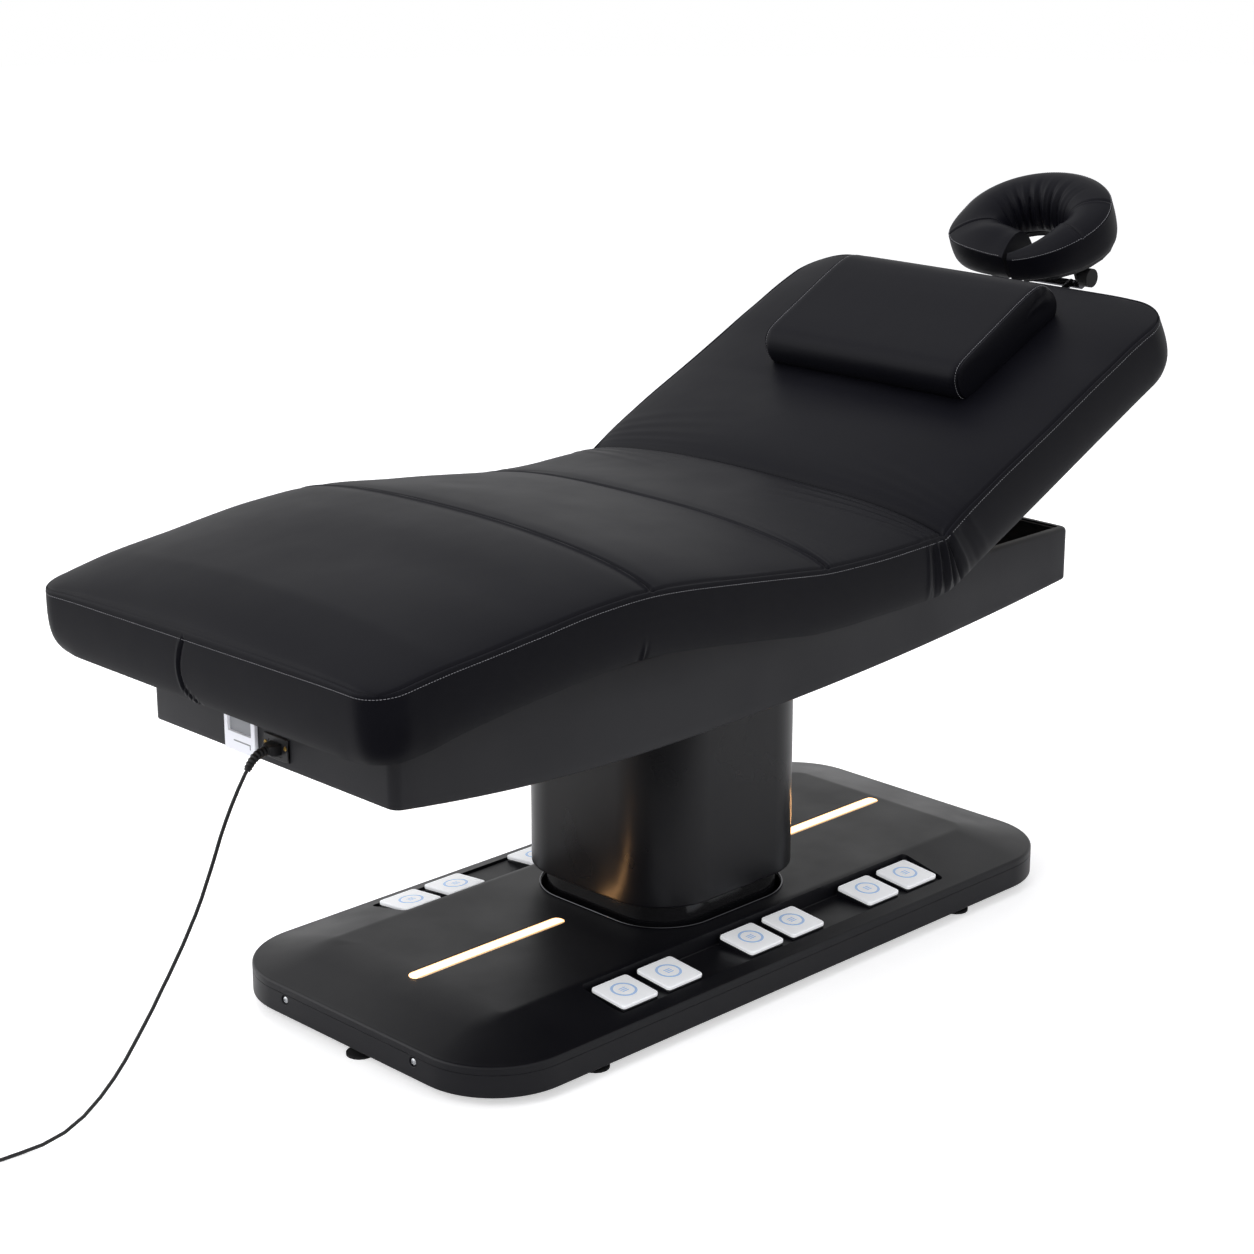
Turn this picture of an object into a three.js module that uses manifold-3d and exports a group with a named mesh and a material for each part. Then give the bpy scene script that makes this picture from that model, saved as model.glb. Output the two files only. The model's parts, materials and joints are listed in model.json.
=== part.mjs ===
// An electric treatment bed: a low base with foot pedals, a telescopic lift column, a tray-shaped
// body and a four-section mattress with a pillow and a face cradle.
// Millimetres, +Z up, +X towards the head end. The near long side, with the pedals in view, is -Y.
import * as THREE from 'three';
import Module from 'manifold-3d';
import { mergeVertices } from 'three/addons/utils/BufferGeometryUtils.js';

const wasm = await Module();
wasm.setup();

// Shared clearances
const seatGap = 0.3;
const runGap = 0.6;
const cutOverrun = 5;

// Base cover, a hollow moulding with a bevelled top
const baseHalfLength = 678;
const baseHalfWidth = 324;
const baseCornerRadius = 136;
const baseUnderside = 20;
const bandTop = 70;
const bandRound = 5;
const plateauRise = 25;
const bevelEndReach = 120;
const bevelSideReach = 124;
const plateauTop = bandTop + plateauRise;
const plateauHalfLength = baseHalfLength - bevelEndReach;
const plateauHalfWidth = baseHalfWidth - bevelSideReach;
const plateauCornerRadius = 30;
const coverWall = 4;
const basePlateThickness = 5;

// Pedals in channels along both long sides, six to a side in three pairs
const pedalPairPitch = 286;
const pedalPitch = 98;
const pedalLength = 77;
const pedalThickness = 6.5;
const pedalSlope = 5.5;
const pedalTravel = 2;
const pedalCornerRadius = 6;
const pedalRise = 15;
const pedalBackRoom = 9;
const pedalFrontRoom = 6;
const channelEndRoom = 10.5;
const channelStep = 7;
const channelRimWidth = 28;
const channelDepth = 27;
const channelHalfLength = pedalPairPitch + pedalPitch / 2 + pedalLength / 2 + channelEndRoom;
const channelInnerEdge = plateauHalfWidth + channelStep;
const channelOuterEdge = baseHalfWidth - channelRimWidth;
const channelFloor = plateauTop - channelDepth;
const pedalHingeEdge = channelInnerEdge + pedalBackRoom;
const pedalWidth = channelOuterEdge - pedalHingeEdge - pedalFrontRoom;
const pedalHingeHeight = channelFloor + pedalRise;
const housingInset = 2;
const railThickness = 2.5;
const railMargin = 4;

// Levelling feet, two under each long side and one under each end
const sideFootInset = 248;
const footEdgeInset = 38;
const endFootInset = 24;
const footPadRadius = 22;
const footPadHeight = 8;
const footPadEdge = 4;
const footNeckRadius = 7;

// Lift column
const innerColumnHalf = 162;
const innerColumnRadius = 92;
const columnStep = 21.5;
const columnCornerStep = 13;
const columnFloat = 41;
const columnTopRoom = 45;
const columnWall = 4;
const columnLidThickness = 6;
const recessRoom = 9;
const trimWidth = 4;
const trimHeight = 2.5;
const outerColumnHalf = innerColumnHalf + columnStep;
const outerColumnRadius = innerColumnRadius + columnCornerStep;
const outerColumnBottom = plateauTop + columnFloat;
const recessHalf = innerColumnHalf + recessRoom;
const recessRadius = innerColumnRadius + recessRoom;

// Lift actuator inside the column
const liftTubeRadius = 34;
const liftBoreRadius = 24;
const liftTubeTopRoom = 53;
const liftRodOverhang = 6;
const gearboxHalf = 55;
const gearboxHeight = 60;

// Light strips let into the plateau
const lightColumnRoom = 55;
const lightEndInset = 10;
const lightWidth = 28;
const lightDepth = 4;
const lightStart = recessHalf + trimWidth + lightColumnRoom;
const lightEnd = plateauHalfLength - lightEndInset;

// Tray: the body that carries the mattress
const trayFootEnd = -806;
const trayHeadEnd = 716;
const trayHalfWidth = 280;
const trayCornerRadius = 16;
const trayRim = 626;
const trayDepth = 153;
const trayKeelX = -280;
const trayKeelHeight = trayRim - trayDepth;
const trayFootRise = 39;
const trayHeadRise = 62;
const trayWall = 3;
const trayFlange = 14;

// Mattress sections, each in the frame of its own hinge
const mattressHalfWidth = 400;
const mattressThickness = 95;
const crownHeight = 17;
const sideTuck = 11;
const sideDraw = 4;
const seamDip = 7;
const foldDip = 14;
const seamReach = 16;
const cornerRadius = 76;
const backLength = 692;
const calfLength = 481;
const thighLength = 378;
const hipX = -64;
const backHingeX = 242;
const boardClearance = 2;
const boardPlane = trayRim + boardClearance;
const hingeDrop = 10;
const backAngle = 25;
const thighAngle = 7.3;
const kneeBend = 12.3;
const backFoldReach = 95;
const legFoldReach = 42;

// Boards and steel frames under the mattress
const boardThickness = 12;
const boardSideMargin = 75;
const boardHalfWidth = mattressHalfWidth - boardSideMargin;
const boardEndMargin = 26;
const boardHingeGap = 20;
const tubeHeight = 40;
const tubeWidth = 25;
const railInset = 75;
const railPlace = trayHalfWidth - railInset;
const railEndInset = 43;
const crossbarWidth = 30;
const calfFrameRoom = 34;
const backFrameRoom = 28;
const calfFrameReach = hipX - thighLength - calfFrameRoom - trayFootEnd;
const backFrameReach = trayHeadEnd - backFrameRoom - backHingeX;
const postWidth = 40;
const lugThickness = 8;
const lugRadius = 16;
const lugOverlap = 5;
const hingePinRadius = 8;

// Levers under the back and thigh frames, each with a pin in a slotted yoke
const leverPinRadius = 7;
const leverThickness = 10;
const leverTipHalf = 10.5;
const backLever = 90;
const backLeverLag = 35;
const backLeverPlace = -75;
const legLever = 80;
const legLeverLag = -10;
const legLeverPlace = 75;
const yokeSlack = 1.8;
const yokeWall = 9;
const yokePlate = 6;
const yokeReach = 20;

// Actuators that push the yokes, standing on the tray floor
const rodRadius = 11;
const actuatorHalf = 27;
const actuatorCornerRadius = 8;
const actuatorLength = 210;
const backPushRoom = 86;
const legPushRoom = 78;

// Service panel and mains inlet on the foot end, with the power unit behind the inlet
const panelCentreY = 58;
const panelWidth = 72;
const panelHeight = 78;
const panelDrop = 34;
const panelHigh = trayRim - panelDrop;
const panelThickness = 6;
const panelFrame = 10;
const panelFloor = 3;
const inletCentreY = -24;
const inletDrop = 84;
const inletCentreZ = trayRim - inletDrop;
const inletWidth = 56;
const inletHeight = 34;
const inletThickness = 3;
const inletRim = 3;
const inletDepth = 20;
const powerUnitInset = 26;
const powerUnitLength = 220;
const powerUnitHalfWidth = 110;
const powerUnitRise = 24;
const powerUnitStart = trayFootEnd + powerUnitInset;
const powerUnitTop = inletCentreZ + powerUnitRise;

// Pillow on the back section, placed along the back from its hinge
const pillowEndRoom = 80;
const pillowLength = 294;
const pillowStart = backLength - pillowEndRoom - pillowLength;
const pillowHeight = 79;
const pillowHalfWidth = 220;

// Face cradle at the head end, placed along the back from its hinge
const cradleReach = 158;
const cradleCentre = backLength + cradleReach;
const cradleTop = 144;
const cradleThickness = 74;
const cradleHalfLength = 124;
const cradleHalfWidth = 150;
const cradleTubeWidth = 92;
const cradleSlotHalf = 4;
const cradleSlotPlace = -15;
const cradlePlateThickness = 8;
const cradlePlateInset = 14;
const cradlePlateWidth = 70;
const cradlePlateSlotHalf = 20;
const cradleRodRadius = 6;
const cradleRodPlace = 75;
const cradleRodGrip = 262;
const cradleRodInner = backLength - cradleRodGrip;
const cradleHingeReach = 33;
const cradleHingePlace = cradleCentre - cradleHingeReach;
const cradleHingeHeight = 46;
const cradleArmHalf = 10;
const cradleArmThickness = 5;
const cradleEarReach = 75;
const cradlePinRadius = 3;
const cradlePinPlace = 92;
const knobRadius = 17;
const knobLength = 20;
const cleatSide = 20;
const cleatEndRoom = 30;
const cleatStart = cradleRodInner - cleatEndRoom;

// Connector in the inlet, with a ribbed boot that droops to the cord
const connectorLength = 18;
const connectorWidth = 25;
const connectorHeight = 17;
const bootLength = 35;
const bootRadius = 8;
const bootTipRadius = 5.6;
const bootDroop = 21;

// Mains lead: hand-chosen points from the boot to the coil on the floor
const cordDiameter = 5.7;
const cordRoute = [
  [-862.2, -24, 520.8], [-865.8, -23.9, 516.4], [-876, -20.5, 496], [-887, -17, 472], [-896, -13.5, 449],
  [-904, -10.5, 427], [-911, -8, 405], [-918, -5, 383], [-926, -2.5, 361], [-934, 0, 339], [-943, 3, 317],
  [-953, 6.5, 295], [-963, 10, 273], [-974, 14, 251], [-985, 18, 229], [-997, 22, 207], [-1009, 26, 184],
  [-1022, 30.5, 161], [-1036, 36, 136], [-1051, 41, 111], [-1068, 47, 86], [-1088, 54, 61], [-1112, 62, 37],
  [-1140, 71, 18], [-1172, 80, 7], [-1206, 87, 3.4], [-1240, 90, 3.1], [-1290, 90, 3], [-1340, 90, 3],
];
const coilRadius = 31;
const coilPitch = 6.3;
const coilLead = 6;
const coilTail = 48;
const plugLength = 34;
const plugWidth = 38;
const plugThickness = 24;
const plugCornerRadius = 6;
const plugPinLength = 17;
const plugPinRadius = 2.2;
const plugPinPlace = 9.5;

// Counts
const cornerSteps = 4;
const fineCornerSteps = 6;
const roundSteps = 16;
const cordSides = 8;
const cordSteps = 60;
const bootSides = 10;
const bootRibs = 7;
const coilLoops = 6;
const coilLayers = 2;
const coilSides = 6;
const loopSteps = 24;

// Hand-chosen shares of the sizes that they follow
const crownShares = [1, 0.975, 0.91, 0.78, 0.5, 0.18];
const ribShare = 0.84;
const plugTaperShare = 0.7;
const cradleSquareShare = 0.62;
const backYokeShare = 0.911;
const backSlotShare = 0.4;
const legYokeShare = 0.9875;
const legSlotShare = 0.25;
// Pillow outline: [share of length, share of height] from the lower front edge round
const pillowOutlineShares = [
  [0.05, 0], [0.005, 0.16], [-0.02, 0.48], [0.005, 0.76], [0.07, 0.93], [0.2, 0.97], [0.45, 1], [0.7, 1.01],
  [0.86, 0.99], [0.95, 0.87], [1, 0.52], [0.99, 0.24], [0.95, 0.05], [0.9, 0], [0.5, 0], [0.25, 0],
];
// Pillow cross-sections from side to side: [share of half width, share of full section]
const pillowSectionShares = [
  [-1, 0.88], [-0.985, 0.955], [-0.93, 0.985], [-0.5, 0.995], [0, 1],
  [0.5, 0.995], [0.93, 0.985], [0.985, 0.955], [1, 0.88],
];
// Cradle section from the edge of the hole outwards: [share across, share up]
const cradleSectionShares = [
  [0.1, 0], [0.01, 0.3], [0, 0.62], [0.07, 0.86], [0.22, 0.99], [0.45, 1.06], [0.7, 1.04],
  [0.92, 0.95], [1, 0.86], [1, 0.45], [0.93, 0],
];

// Colours and finishes
const finish = (color, roughness, metalness) => new THREE.MeshStandardMaterial({ color, roughness, metalness });
const finishes = {
  shell: finish(0x26262a, 0.5, 0.1),
  tray: finish(0x36363a, 0.5, 0.3),
  steel: finish(0x3c3d40, 0.55, 0.6),
  pin: finish(0xb9bcc0, 0.3, 1),
  chrome: finish(0xd8dadc, 0.12, 1),
  leather: finish(0x1b1b1f, 0.55, 0),
  pedal: finish(0xe6e7e8, 0.4, 0),
  panel: finish(0xe9ebf2, 0.35, 0),
  light: finish(0xfff1d8, 0.6, 0),
  rubber: finish(0x151516, 0.8, 0),
  plastic: finish(0x1d1d1f, 0.6, 0),
  board: finish(0x8a6a45, 0.8, 0),
  motor: finish(0x9a9ca0, 0.5, 0.2),
};

const rad = THREE.MathUtils.degToRad;
const hingeHeight = boardPlane - hingeDrop;
const part = new THREE.Group();
const lift = new THREE.Group();
part.add(lift);

// Adds a named piece to a group
function add(group, name, shape, material) {
  const geometry = shape.isBufferGeometry ? shape : toGeometry(shape);
  const piece = new THREE.Mesh(geometry, material);
  piece.name = name;
  group.add(piece);
  return piece;
}

// A group that turns about a hinge across the bed
function hingedGroup(parent, x, z, angle) {
  const group = new THREE.Group();
  group.position.set(x, 0, z);
  group.rotation.y = rad(angle);
  parent.add(group);
  return group;
}

// A closed mesh as a solid for cutting and joining
function toSolid(geometry) {
  const bare = geometry.clone();
  bare.deleteAttribute('normal');
  bare.deleteAttribute('uv');
  const merged = mergeVertices(bare);
  return new wasm.Manifold(new wasm.Mesh({
    numProp: 3,
    vertProperties: new Float32Array(merged.attributes.position.array),
    triVerts: new Uint32Array(merged.index.array),
  }));
}

// A solid back as a mesh geometry
function toGeometry(solid) {
  const mesh = solid.getMesh();
  const geometry = new THREE.BufferGeometry();
  geometry.setAttribute('position', new THREE.BufferAttribute(mesh.vertProperties, 3));
  geometry.setIndex(new THREE.BufferAttribute(mesh.triVerts, 1));
  return geometry;
}

function join(...solids) {
  return solids.reduce((sum, next) => sum.add(next));
}

// The same piece on both long sides
function bothSides(make) {
  return join(make(-1), make(1));
}

// A rectangle with round corners, centred on the origin
function roundedRect(halfX, halfY, radius) {
  const shape = new THREE.Shape();
  const [x, y] = [halfX - radius, halfY - radius];
  shape.absarc(x, y, radius, 0, Math.PI / 2);
  shape.absarc(-x, y, radius, Math.PI / 2, Math.PI);
  shape.absarc(-x, -y, radius, Math.PI, -Math.PI / 2);
  shape.absarc(x, -y, radius, -Math.PI / 2, 0);
  return shape;
}

function polygon(points) {
  return new THREE.Shape(points.map(([x, y]) => new THREE.Vector2(x, y)));
}

// A square-cornered outline, centred on the origin
function rectangle(halfX, halfY) {
  return polygon([[-halfX, -halfY], [halfX, -halfY], [halfX, halfY], [-halfX, halfY]]);
}

// Extrudes an outline in X and Y between two heights
function pillar(shape, low, high, curveSegments = cornerSteps) {
  const geometry = new THREE.ExtrudeGeometry(shape, { depth: high - low, bevelEnabled: false, curveSegments });
  geometry.translate(0, 0, low);
  return toSolid(geometry);
}

// Extrudes an outline in X and Z between two places along Y
function sidePlate(shape, near, far) {
  const geometry = new THREE.ExtrudeGeometry(shape, { depth: far - near, bevelEnabled: false, curveSegments: cornerSteps });
  geometry.rotateX(Math.PI / 2);
  geometry.translate(0, far, 0);
  return toSolid(geometry);
}

// Extrudes an outline in Y and Z between two places along X
function endPlate(shape, low, high) {
  const geometry = new THREE.ExtrudeGeometry(shape, { depth: high - low, bevelEnabled: false, curveSegments: cornerSteps });
  const [x, y, z] = [0, 1, 2].map((axis) => new THREE.Vector3().setComponent(axis, 1));
  geometry.applyMatrix4(new THREE.Matrix4().makeBasis(y, z, x));
  geometry.translate(low, 0, 0);
  return toSolid(geometry);
}

// A block between two opposite corners, given in any order
function block(from, to) {
  const low = from.map((value, k) => Math.min(value, to[k]));
  const high = from.map((value, k) => Math.max(value, to[k]));
  const geometry = new THREE.BoxGeometry(high[0] - low[0], high[1] - low[1], high[2] - low[2]);
  geometry.translate(...low.map((value, k) => (value + high[k]) / 2));
  return toSolid(geometry);
}

// A round bar from a start point along 'x', 'y' or 'z'
function bar(axis, radius, length, [x, y, z]) {
  const geometry = new THREE.CylinderGeometry(radius, radius, length, roundSteps);
  geometry.translate(0, length / 2, 0);
  if (axis === 'x') geometry.rotateZ(-Math.PI / 2);
  if (axis === 'z') geometry.rotateX(Math.PI / 2);
  geometry.translate(x, y, z);
  return toSolid(geometry);
}

// Skins a row of closed loops that have equal numbers of points, and caps both ends
function loft(loops) {
  const count = loops[0].length;
  const points = loops.flat();
  const index = [];
  for (let row = 0; row + 1 < loops.length; row += 1) {
    for (let i = 0; i < count; i += 1) {
      const a = row * count + i;
      const b = row * count + ((i + 1) % count);
      index.push(a, b, b + count, a, b + count, a + count);
    }
  }
  const cap = (row, flip) => {
    const middle = points.length;
    points.push([0, 1, 2].map((k) => loops[row].reduce((sum, p) => sum + p[k], 0) / count));
    for (let i = 0; i < count; i += 1) {
      const a = row * count + i;
      const b = row * count + ((i + 1) % count);
      index.push(...(flip ? [middle, b, a] : [middle, a, b]));
    }
  };
  cap(0, true);
  cap(loops.length - 1, false);
  const geometry = new THREE.BufferGeometry();
  geometry.setAttribute('position', new THREE.Float32BufferAttribute(points.flat(), 3));
  geometry.setIndex(index);
  return geometry;
}

// The loft turned so that its faces point out
function loftSolid(loops) {
  const solid = toSolid(loft(loops));
  return solid.volume() > 0 ? solid : toSolid(loft([...loops].reverse()));
}

// Base

// A level loop of a rounded rectangle
function rectLoop(halfX, halfY, radius, height) {
  const points = roundedRect(halfX, halfY, radius).getPoints(fineCornerSteps);
  return points.map((p) => [p.x, p.y, height]);
}

// The bevelled block that both the cover and its hollow are made from
function bevelledBlock(inset, low) {
  const [x, y, r] = [baseHalfLength - inset, baseHalfWidth - inset, baseCornerRadius - inset];
  return loftSolid([
    rectLoop(x, y, r, low),
    rectLoop(x, y, r, bandTop - bandRound - inset),
    rectLoop(x - bandRound, y - bandRound, r - bandRound, bandTop - inset),
    rectLoop(plateauHalfLength, plateauHalfWidth, plateauCornerRadius, plateauTop - inset),
  ]);
}

// The room of a pedal channel, or with growth the room plus its walls
function channelRoom(side, growth) {
  return block([-channelHalfLength - growth, side * (channelInnerEdge - growth), channelFloor - growth],
    [channelHalfLength + growth, side * (channelOuterEdge + growth), plateauTop + cutOverrun]);
}

// The room of a light strip's slot, or with growth the room plus its walls
function lightRoom(end, growth, low, high) {
  const half = lightWidth / 2 + growth;
  const shape = roundedRect((lightEnd - lightStart) / 2 + growth, half, half);
  return pillar(shape, low, high).translate([end * (lightStart + lightEnd) / 2, 0, 0]);
}

function makeCover() {
  const top = plateauTop + cutOverrun;
  const slotFloor = plateauTop - lightDepth;
  const rooms = (growth) => bothSides((side) => channelRoom(side, growth)
    .add(lightRoom(side, growth, slotFloor - growth, top)));
  const hollow = bevelledBlock(coverWall, baseUnderside - cutOverrun).subtract(rooms(coverWall));
  const recess = pillar(roundedRect(recessHalf, recessHalf, recessRadius), 0, top);
  add(part, 'base_cover', bevelledBlock(0, baseUnderside).subtract(hollow).subtract(rooms(0)).subtract(recess),
    finishes.shell);
  add(part, 'light_strip_foot', lightRoom(-1, -seatGap, slotFloor + seatGap, plateauTop), finishes.light);
  add(part, 'light_strip_head', lightRoom(1, -seatGap, slotFloor + seatGap, plateauTop), finishes.light);
}

function makeBase() {
  makeCover();
  const inset = coverWall + runGap;
  const plateTop = baseUnderside + basePlateThickness;
  const plate = roundedRect(baseHalfLength - inset, baseHalfWidth - inset, baseCornerRadius - inset);
  add(part, 'base_plate', pillar(plate, baseUnderside, plateTop, fineCornerSteps), finishes.steel);

  const trimLow = plateauTop + seatGap;
  const trimOuter = roundedRect(recessHalf + trimWidth, recessHalf + trimWidth, recessRadius + trimWidth);
  const trimInner = roundedRect(recessHalf, recessHalf, recessRadius);
  add(part, 'column_trim', pillar(trimOuter, trimLow, trimLow + trimHeight)
    .subtract(pillar(trimInner, trimLow - cutOverrun, trimLow + trimHeight + cutOverrun)), finishes.chrome);

  const seat = plateTop + seatGap;
  const outer = roundedRect(innerColumnHalf, innerColumnHalf, innerColumnRadius);
  const half = innerColumnHalf - columnWall;
  const inner = roundedRect(half, half, innerColumnRadius - columnWall);
  const top = trayKeelHeight - columnTopRoom;
  add(part, 'column_inner', pillar(outer, seat, top).subtract(pillar(inner, seat - cutOverrun, top + cutOverrun)),
    finishes.shell);

  const tubeTop = trayKeelHeight - liftTubeTopRoom;
  const gearbox = pillar(roundedRect(gearboxHalf, gearboxHalf, actuatorCornerRadius), seat, seat + gearboxHeight);
  const tube = bar('z', liftTubeRadius, tubeTop - seat, [0, 0, seat]);
  const bore = bar('z', liftBoreRadius, tubeTop, [0, 0, seat + gearboxHeight]);
  add(part, 'lift_motor', gearbox.add(tube).subtract(bore), finishes.motor);
}

function makeFeet() {
  const neckTop = baseUnderside - seatGap;
  const profile = [[0, 0], [footPadRadius, 0], [footPadRadius, footPadEdge], [footNeckRadius, footPadHeight],
    [footNeckRadius, neckTop], [0, neckTop]].map(([r, z]) => new THREE.Vector2(r, z));
  const [sideX, sideY] = [baseHalfLength - sideFootInset, baseHalfWidth - footEdgeInset];
  const endX = baseHalfLength - endFootInset;
  const places = {
    near_foot_end: [-sideX, -sideY],
    far_foot_end: [-sideX, sideY],
    near_head_end: [sideX, -sideY],
    far_head_end: [sideX, sideY],
    middle_foot_end: [-endX, 0],
    middle_head_end: [endX, 0],
  };
  for (const [name, [x, y]] of Object.entries(places)) {
    const foot = new THREE.LatheGeometry(profile, roundSteps);
    foot.rotateX(Math.PI / 2);
    add(part, `leveller_${name}`, toSolid(foot), finishes.rubber).position.set(x, y, 0);
  }
}

// Pedals

// The middle of each pedal along the bed, with its name
function pedalPlaces() {
  const pairs = ['legs', 'height', 'back'];
  return pairs.flatMap((pair, i) => ['down', 'up'].map((move, k) => ({
    name: `${pair}_${move}`,
    x: (i - 1) * pedalPairPitch + (k ? 1 : -1) * pedalPitch / 2,
  })));
}

function makePedals(sideName, side) {
  const plate = pillar(roundedRect(pedalLength / 2, pedalWidth / 2, pedalCornerRadius), -pedalThickness, 0, 1)
    .translate([0, side * pedalWidth / 2, 0]);
  for (const { name, x } of pedalPlaces()) {
    const pedal = add(part, `pedal_${sideName}_${name}`, plate, finishes.pedal);
    pedal.position.set(x, side * pedalHingeEdge, pedalHingeHeight + pedalThickness);
    pedal.rotation.x = -side * rad(pedalSlope);
  }
  add(part, `pedal_rail_${sideName}`, pedalRail(side), finishes.pedal);
}

// The strip on the channel floor, with a wedge-shaped housing under each pedal
function pedalRail(side) {
  const low = channelFloor + seatGap;
  const strip = block(
    [-channelHalfLength + railMargin, side * (channelInnerEdge + railMargin), low],
    [channelHalfLength - railMargin, side * (channelOuterEdge - railMargin), low + railThickness],
  );
  const pressed = rad(pedalSlope + pedalTravel);
  const high = pedalHingeHeight - runGap;
  const reach = pedalWidth * Math.cos(pressed) - housingInset;
  const outline = polygon([[0, low], [reach, low], [reach, high - pedalWidth * Math.sin(pressed)], [0, high]]
    .map(([y, z]) => [side * (pedalHingeEdge + y), z]));
  const half = pedalLength / 2 - housingInset;
  return join(strip, ...pedalPlaces().map(({ x }) => endPlate(outline, x - half, x + half)));
}

// Tray and column

// The tray's underside is a shallow keel: a parabola on each side of its lowest place
function keelHeight(x) {
  const [end, rise] = x < trayKeelX ? [trayFootEnd, trayFootRise] : [trayHeadEnd, trayHeadRise];
  return trayKeelHeight + rise * ((x - trayKeelX) / (end - trayKeelX)) ** 2;
}

// The tray's outside, or the room inside it where the inset is a wall or more
function trayBlock(inset, top) {
  const [from, to] = [trayFootEnd + inset, trayHeadEnd - inset];
  const keelSteps = loopSteps / 2;
  const keel = Array.from({ length: keelSteps + 1 }, (_, i) => {
    const x = from + (i / keelSteps) * (to - from);
    return [x, keelHeight(x) + inset];
  });
  const body = sidePlate(polygon([...keel, [to, top], [from, top]]), inset - trayHalfWidth, trayHalfWidth - inset);
  return body.intersect(trayPlan(inset, 0, top + cutOverrun));
}

function trayPlan(inset, low, high) {
  const halfLength = (trayHeadEnd - trayFootEnd) / 2 - inset;
  return pillar(roundedRect(halfLength, trayHalfWidth - inset, trayCornerRadius), low, high)
    .translate([(trayHeadEnd + trayFootEnd) / 2, 0, 0]);
}

function makeTray() {
  const flangeLow = trayRim - trayWall;
  const mouth = trayPlan(trayFlange, flangeLow - cutOverrun, trayRim + cutOverrun);
  const hole = endPlate(rectangle(inletWidth / 2 - inletRim, inletHeight / 2 - inletRim),
    trayFootEnd - cutOverrun, trayFootEnd + trayWall + cutOverrun).translate([0, inletCentreY, inletCentreZ]);
  add(lift, 'tray', trayBlock(0, trayRim).subtract(trayBlock(trayWall, flangeLow)).subtract(mouth).subtract(hole),
    finishes.tray);
}

function makeOuterColumn() {
  const lidTop = trayKeelHeight - seatGap;
  const shell = pillar(roundedRect(outerColumnHalf, outerColumnHalf, outerColumnRadius), outerColumnBottom, trayRim);
  const half = outerColumnHalf - columnWall;
  const bore = pillar(roundedRect(half, half, outerColumnRadius - columnWall), outerColumnBottom - cutOverrun,
    lidTop - columnLidThickness);
  const above = trayBlock(-seatGap, trayRim + cutOverrun);
  add(lift, 'column_outer', shell.subtract(bore).subtract(above), finishes.shell);
  const rodTop = lidTop - columnLidThickness - seatGap;
  const rodLow = outerColumnBottom - liftRodOverhang;
  add(lift, 'lift_rod', bar('z', liftBoreRadius - runGap, rodTop - rodLow, [0, 0, rodLow]), finishes.pin);
}

// Mattress

// One cross-section of the mattress at a place along its board. The top is crowned across the bed and,
// near a free end, along it too. A dip lowers it between the two edges.
function mattressLoop(place, half, alongShare, dip) {
  const top = hingeDrop + mattressThickness;
  const crown = (share) => (crownHeight - dip) * Math.sqrt((1 - share ** 4) * (1 - alongShare ** 4));
  const side = [[half - sideTuck, hingeDrop], [half - sideDraw, hingeDrop + mattressThickness / 2]];
  const halfLoop = [...side, ...crownShares.map((share) => [half * share, top + crown(share)])];
  const mirrored = [...halfLoop].reverse().map(([y, z]) => [-y, z]);
  return [...halfLoop, ...mirrored].map(([y, z]) => [place, y, z]);
}

// A section with a free end: round corners in plan, and the crown rolls down to the end
function endSection(start, end) {
  const direction = Math.sign(end - start);
  const places = [Math.abs(start), (Math.abs(start) + Math.abs(end)) / 2, Math.abs(end) - cornerRadius * 2];
  for (let i = 0; i <= fineCornerSteps; i += 1) {
    places.push(Math.abs(end) - cornerRadius * (1 - Math.sin((i / fineCornerSteps) * Math.PI / 2)));
  }
  return loftSolid(places.map((place) => {
    const left = Math.abs(end) - place;
    const shortfall = Math.max(0, cornerRadius - left);
    const half = mattressHalfWidth - cornerRadius + Math.sqrt(cornerRadius ** 2 - shortfall ** 2);
    return mattressLoop(direction * place, half, Math.max(0, 1 - left / mattressHalfWidth), 0);
  }));
}

// A section between two folds
function middleSection(start, end) {
  return loftSolid([start, (start + end) / 2, end].map((place) => mattressLoop(place, mattressHalfWidth, 0, 0)));
}

function board(start, end) {
  return block([start, -boardHalfWidth, hingeDrop], [end, boardHalfWidth, hingeDrop + boardThickness]);
}

// The recess in a cushion's underside that its board lies in
function boardRecess(start, end) {
  const half = boardHalfWidth + seatGap;
  const out = Math.sign(end - start) * seatGap;
  return block([start - out, -half, hingeDrop - cutOverrun], [end + out, half, hingeDrop + boardThickness + seatGap]);
}

function frameAt(x, z, angle) {
  const turn = new THREE.Matrix4().makeRotationY(rad(angle));
  return new THREE.Matrix4().makeTranslation(x, 0, z).multiply(turn);
}

// The soft fold between two sections: it starts square to one board and ends square to the other
function foldPiece(before, after, reach, inner, dip) {
  const loopIn = (frame, place, depth) => mattressLoop(place, mattressHalfWidth, 0, depth)
    .map((p) => new THREE.Vector3(...p).applyMatrix4(frame).toArray());
  const [first, last] = [loopIn(before, 0, dip), loopIn(after, 0, dip)];
  const middle = first.map((p, i) => p.map((value, k) => (value + last[i][k]) / 2));
  const fold = loftSolid([loopIn(before, seatGap - reach, 0), loopIn(before, -inner, 0), middle,
    loopIn(after, inner, 0), loopIn(after, reach - seatGap, 0)]);
  const half = boardHalfWidth + seatGap;
  const underside = hingeDrop + boardThickness + seatGap;
  const clear = (frame, side) => block([0, -half, -mattressThickness], [side * reach * 2, half, underside])
    .transform(frame.elements);
  const knuckle = bar('y', lugRadius + hingeDrop, half * 2, [0, -half, 0]).transform(before.elements);
  return fold.subtract(clear(before, -1)).subtract(clear(after, 1)).subtract(knuckle);
}

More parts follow.
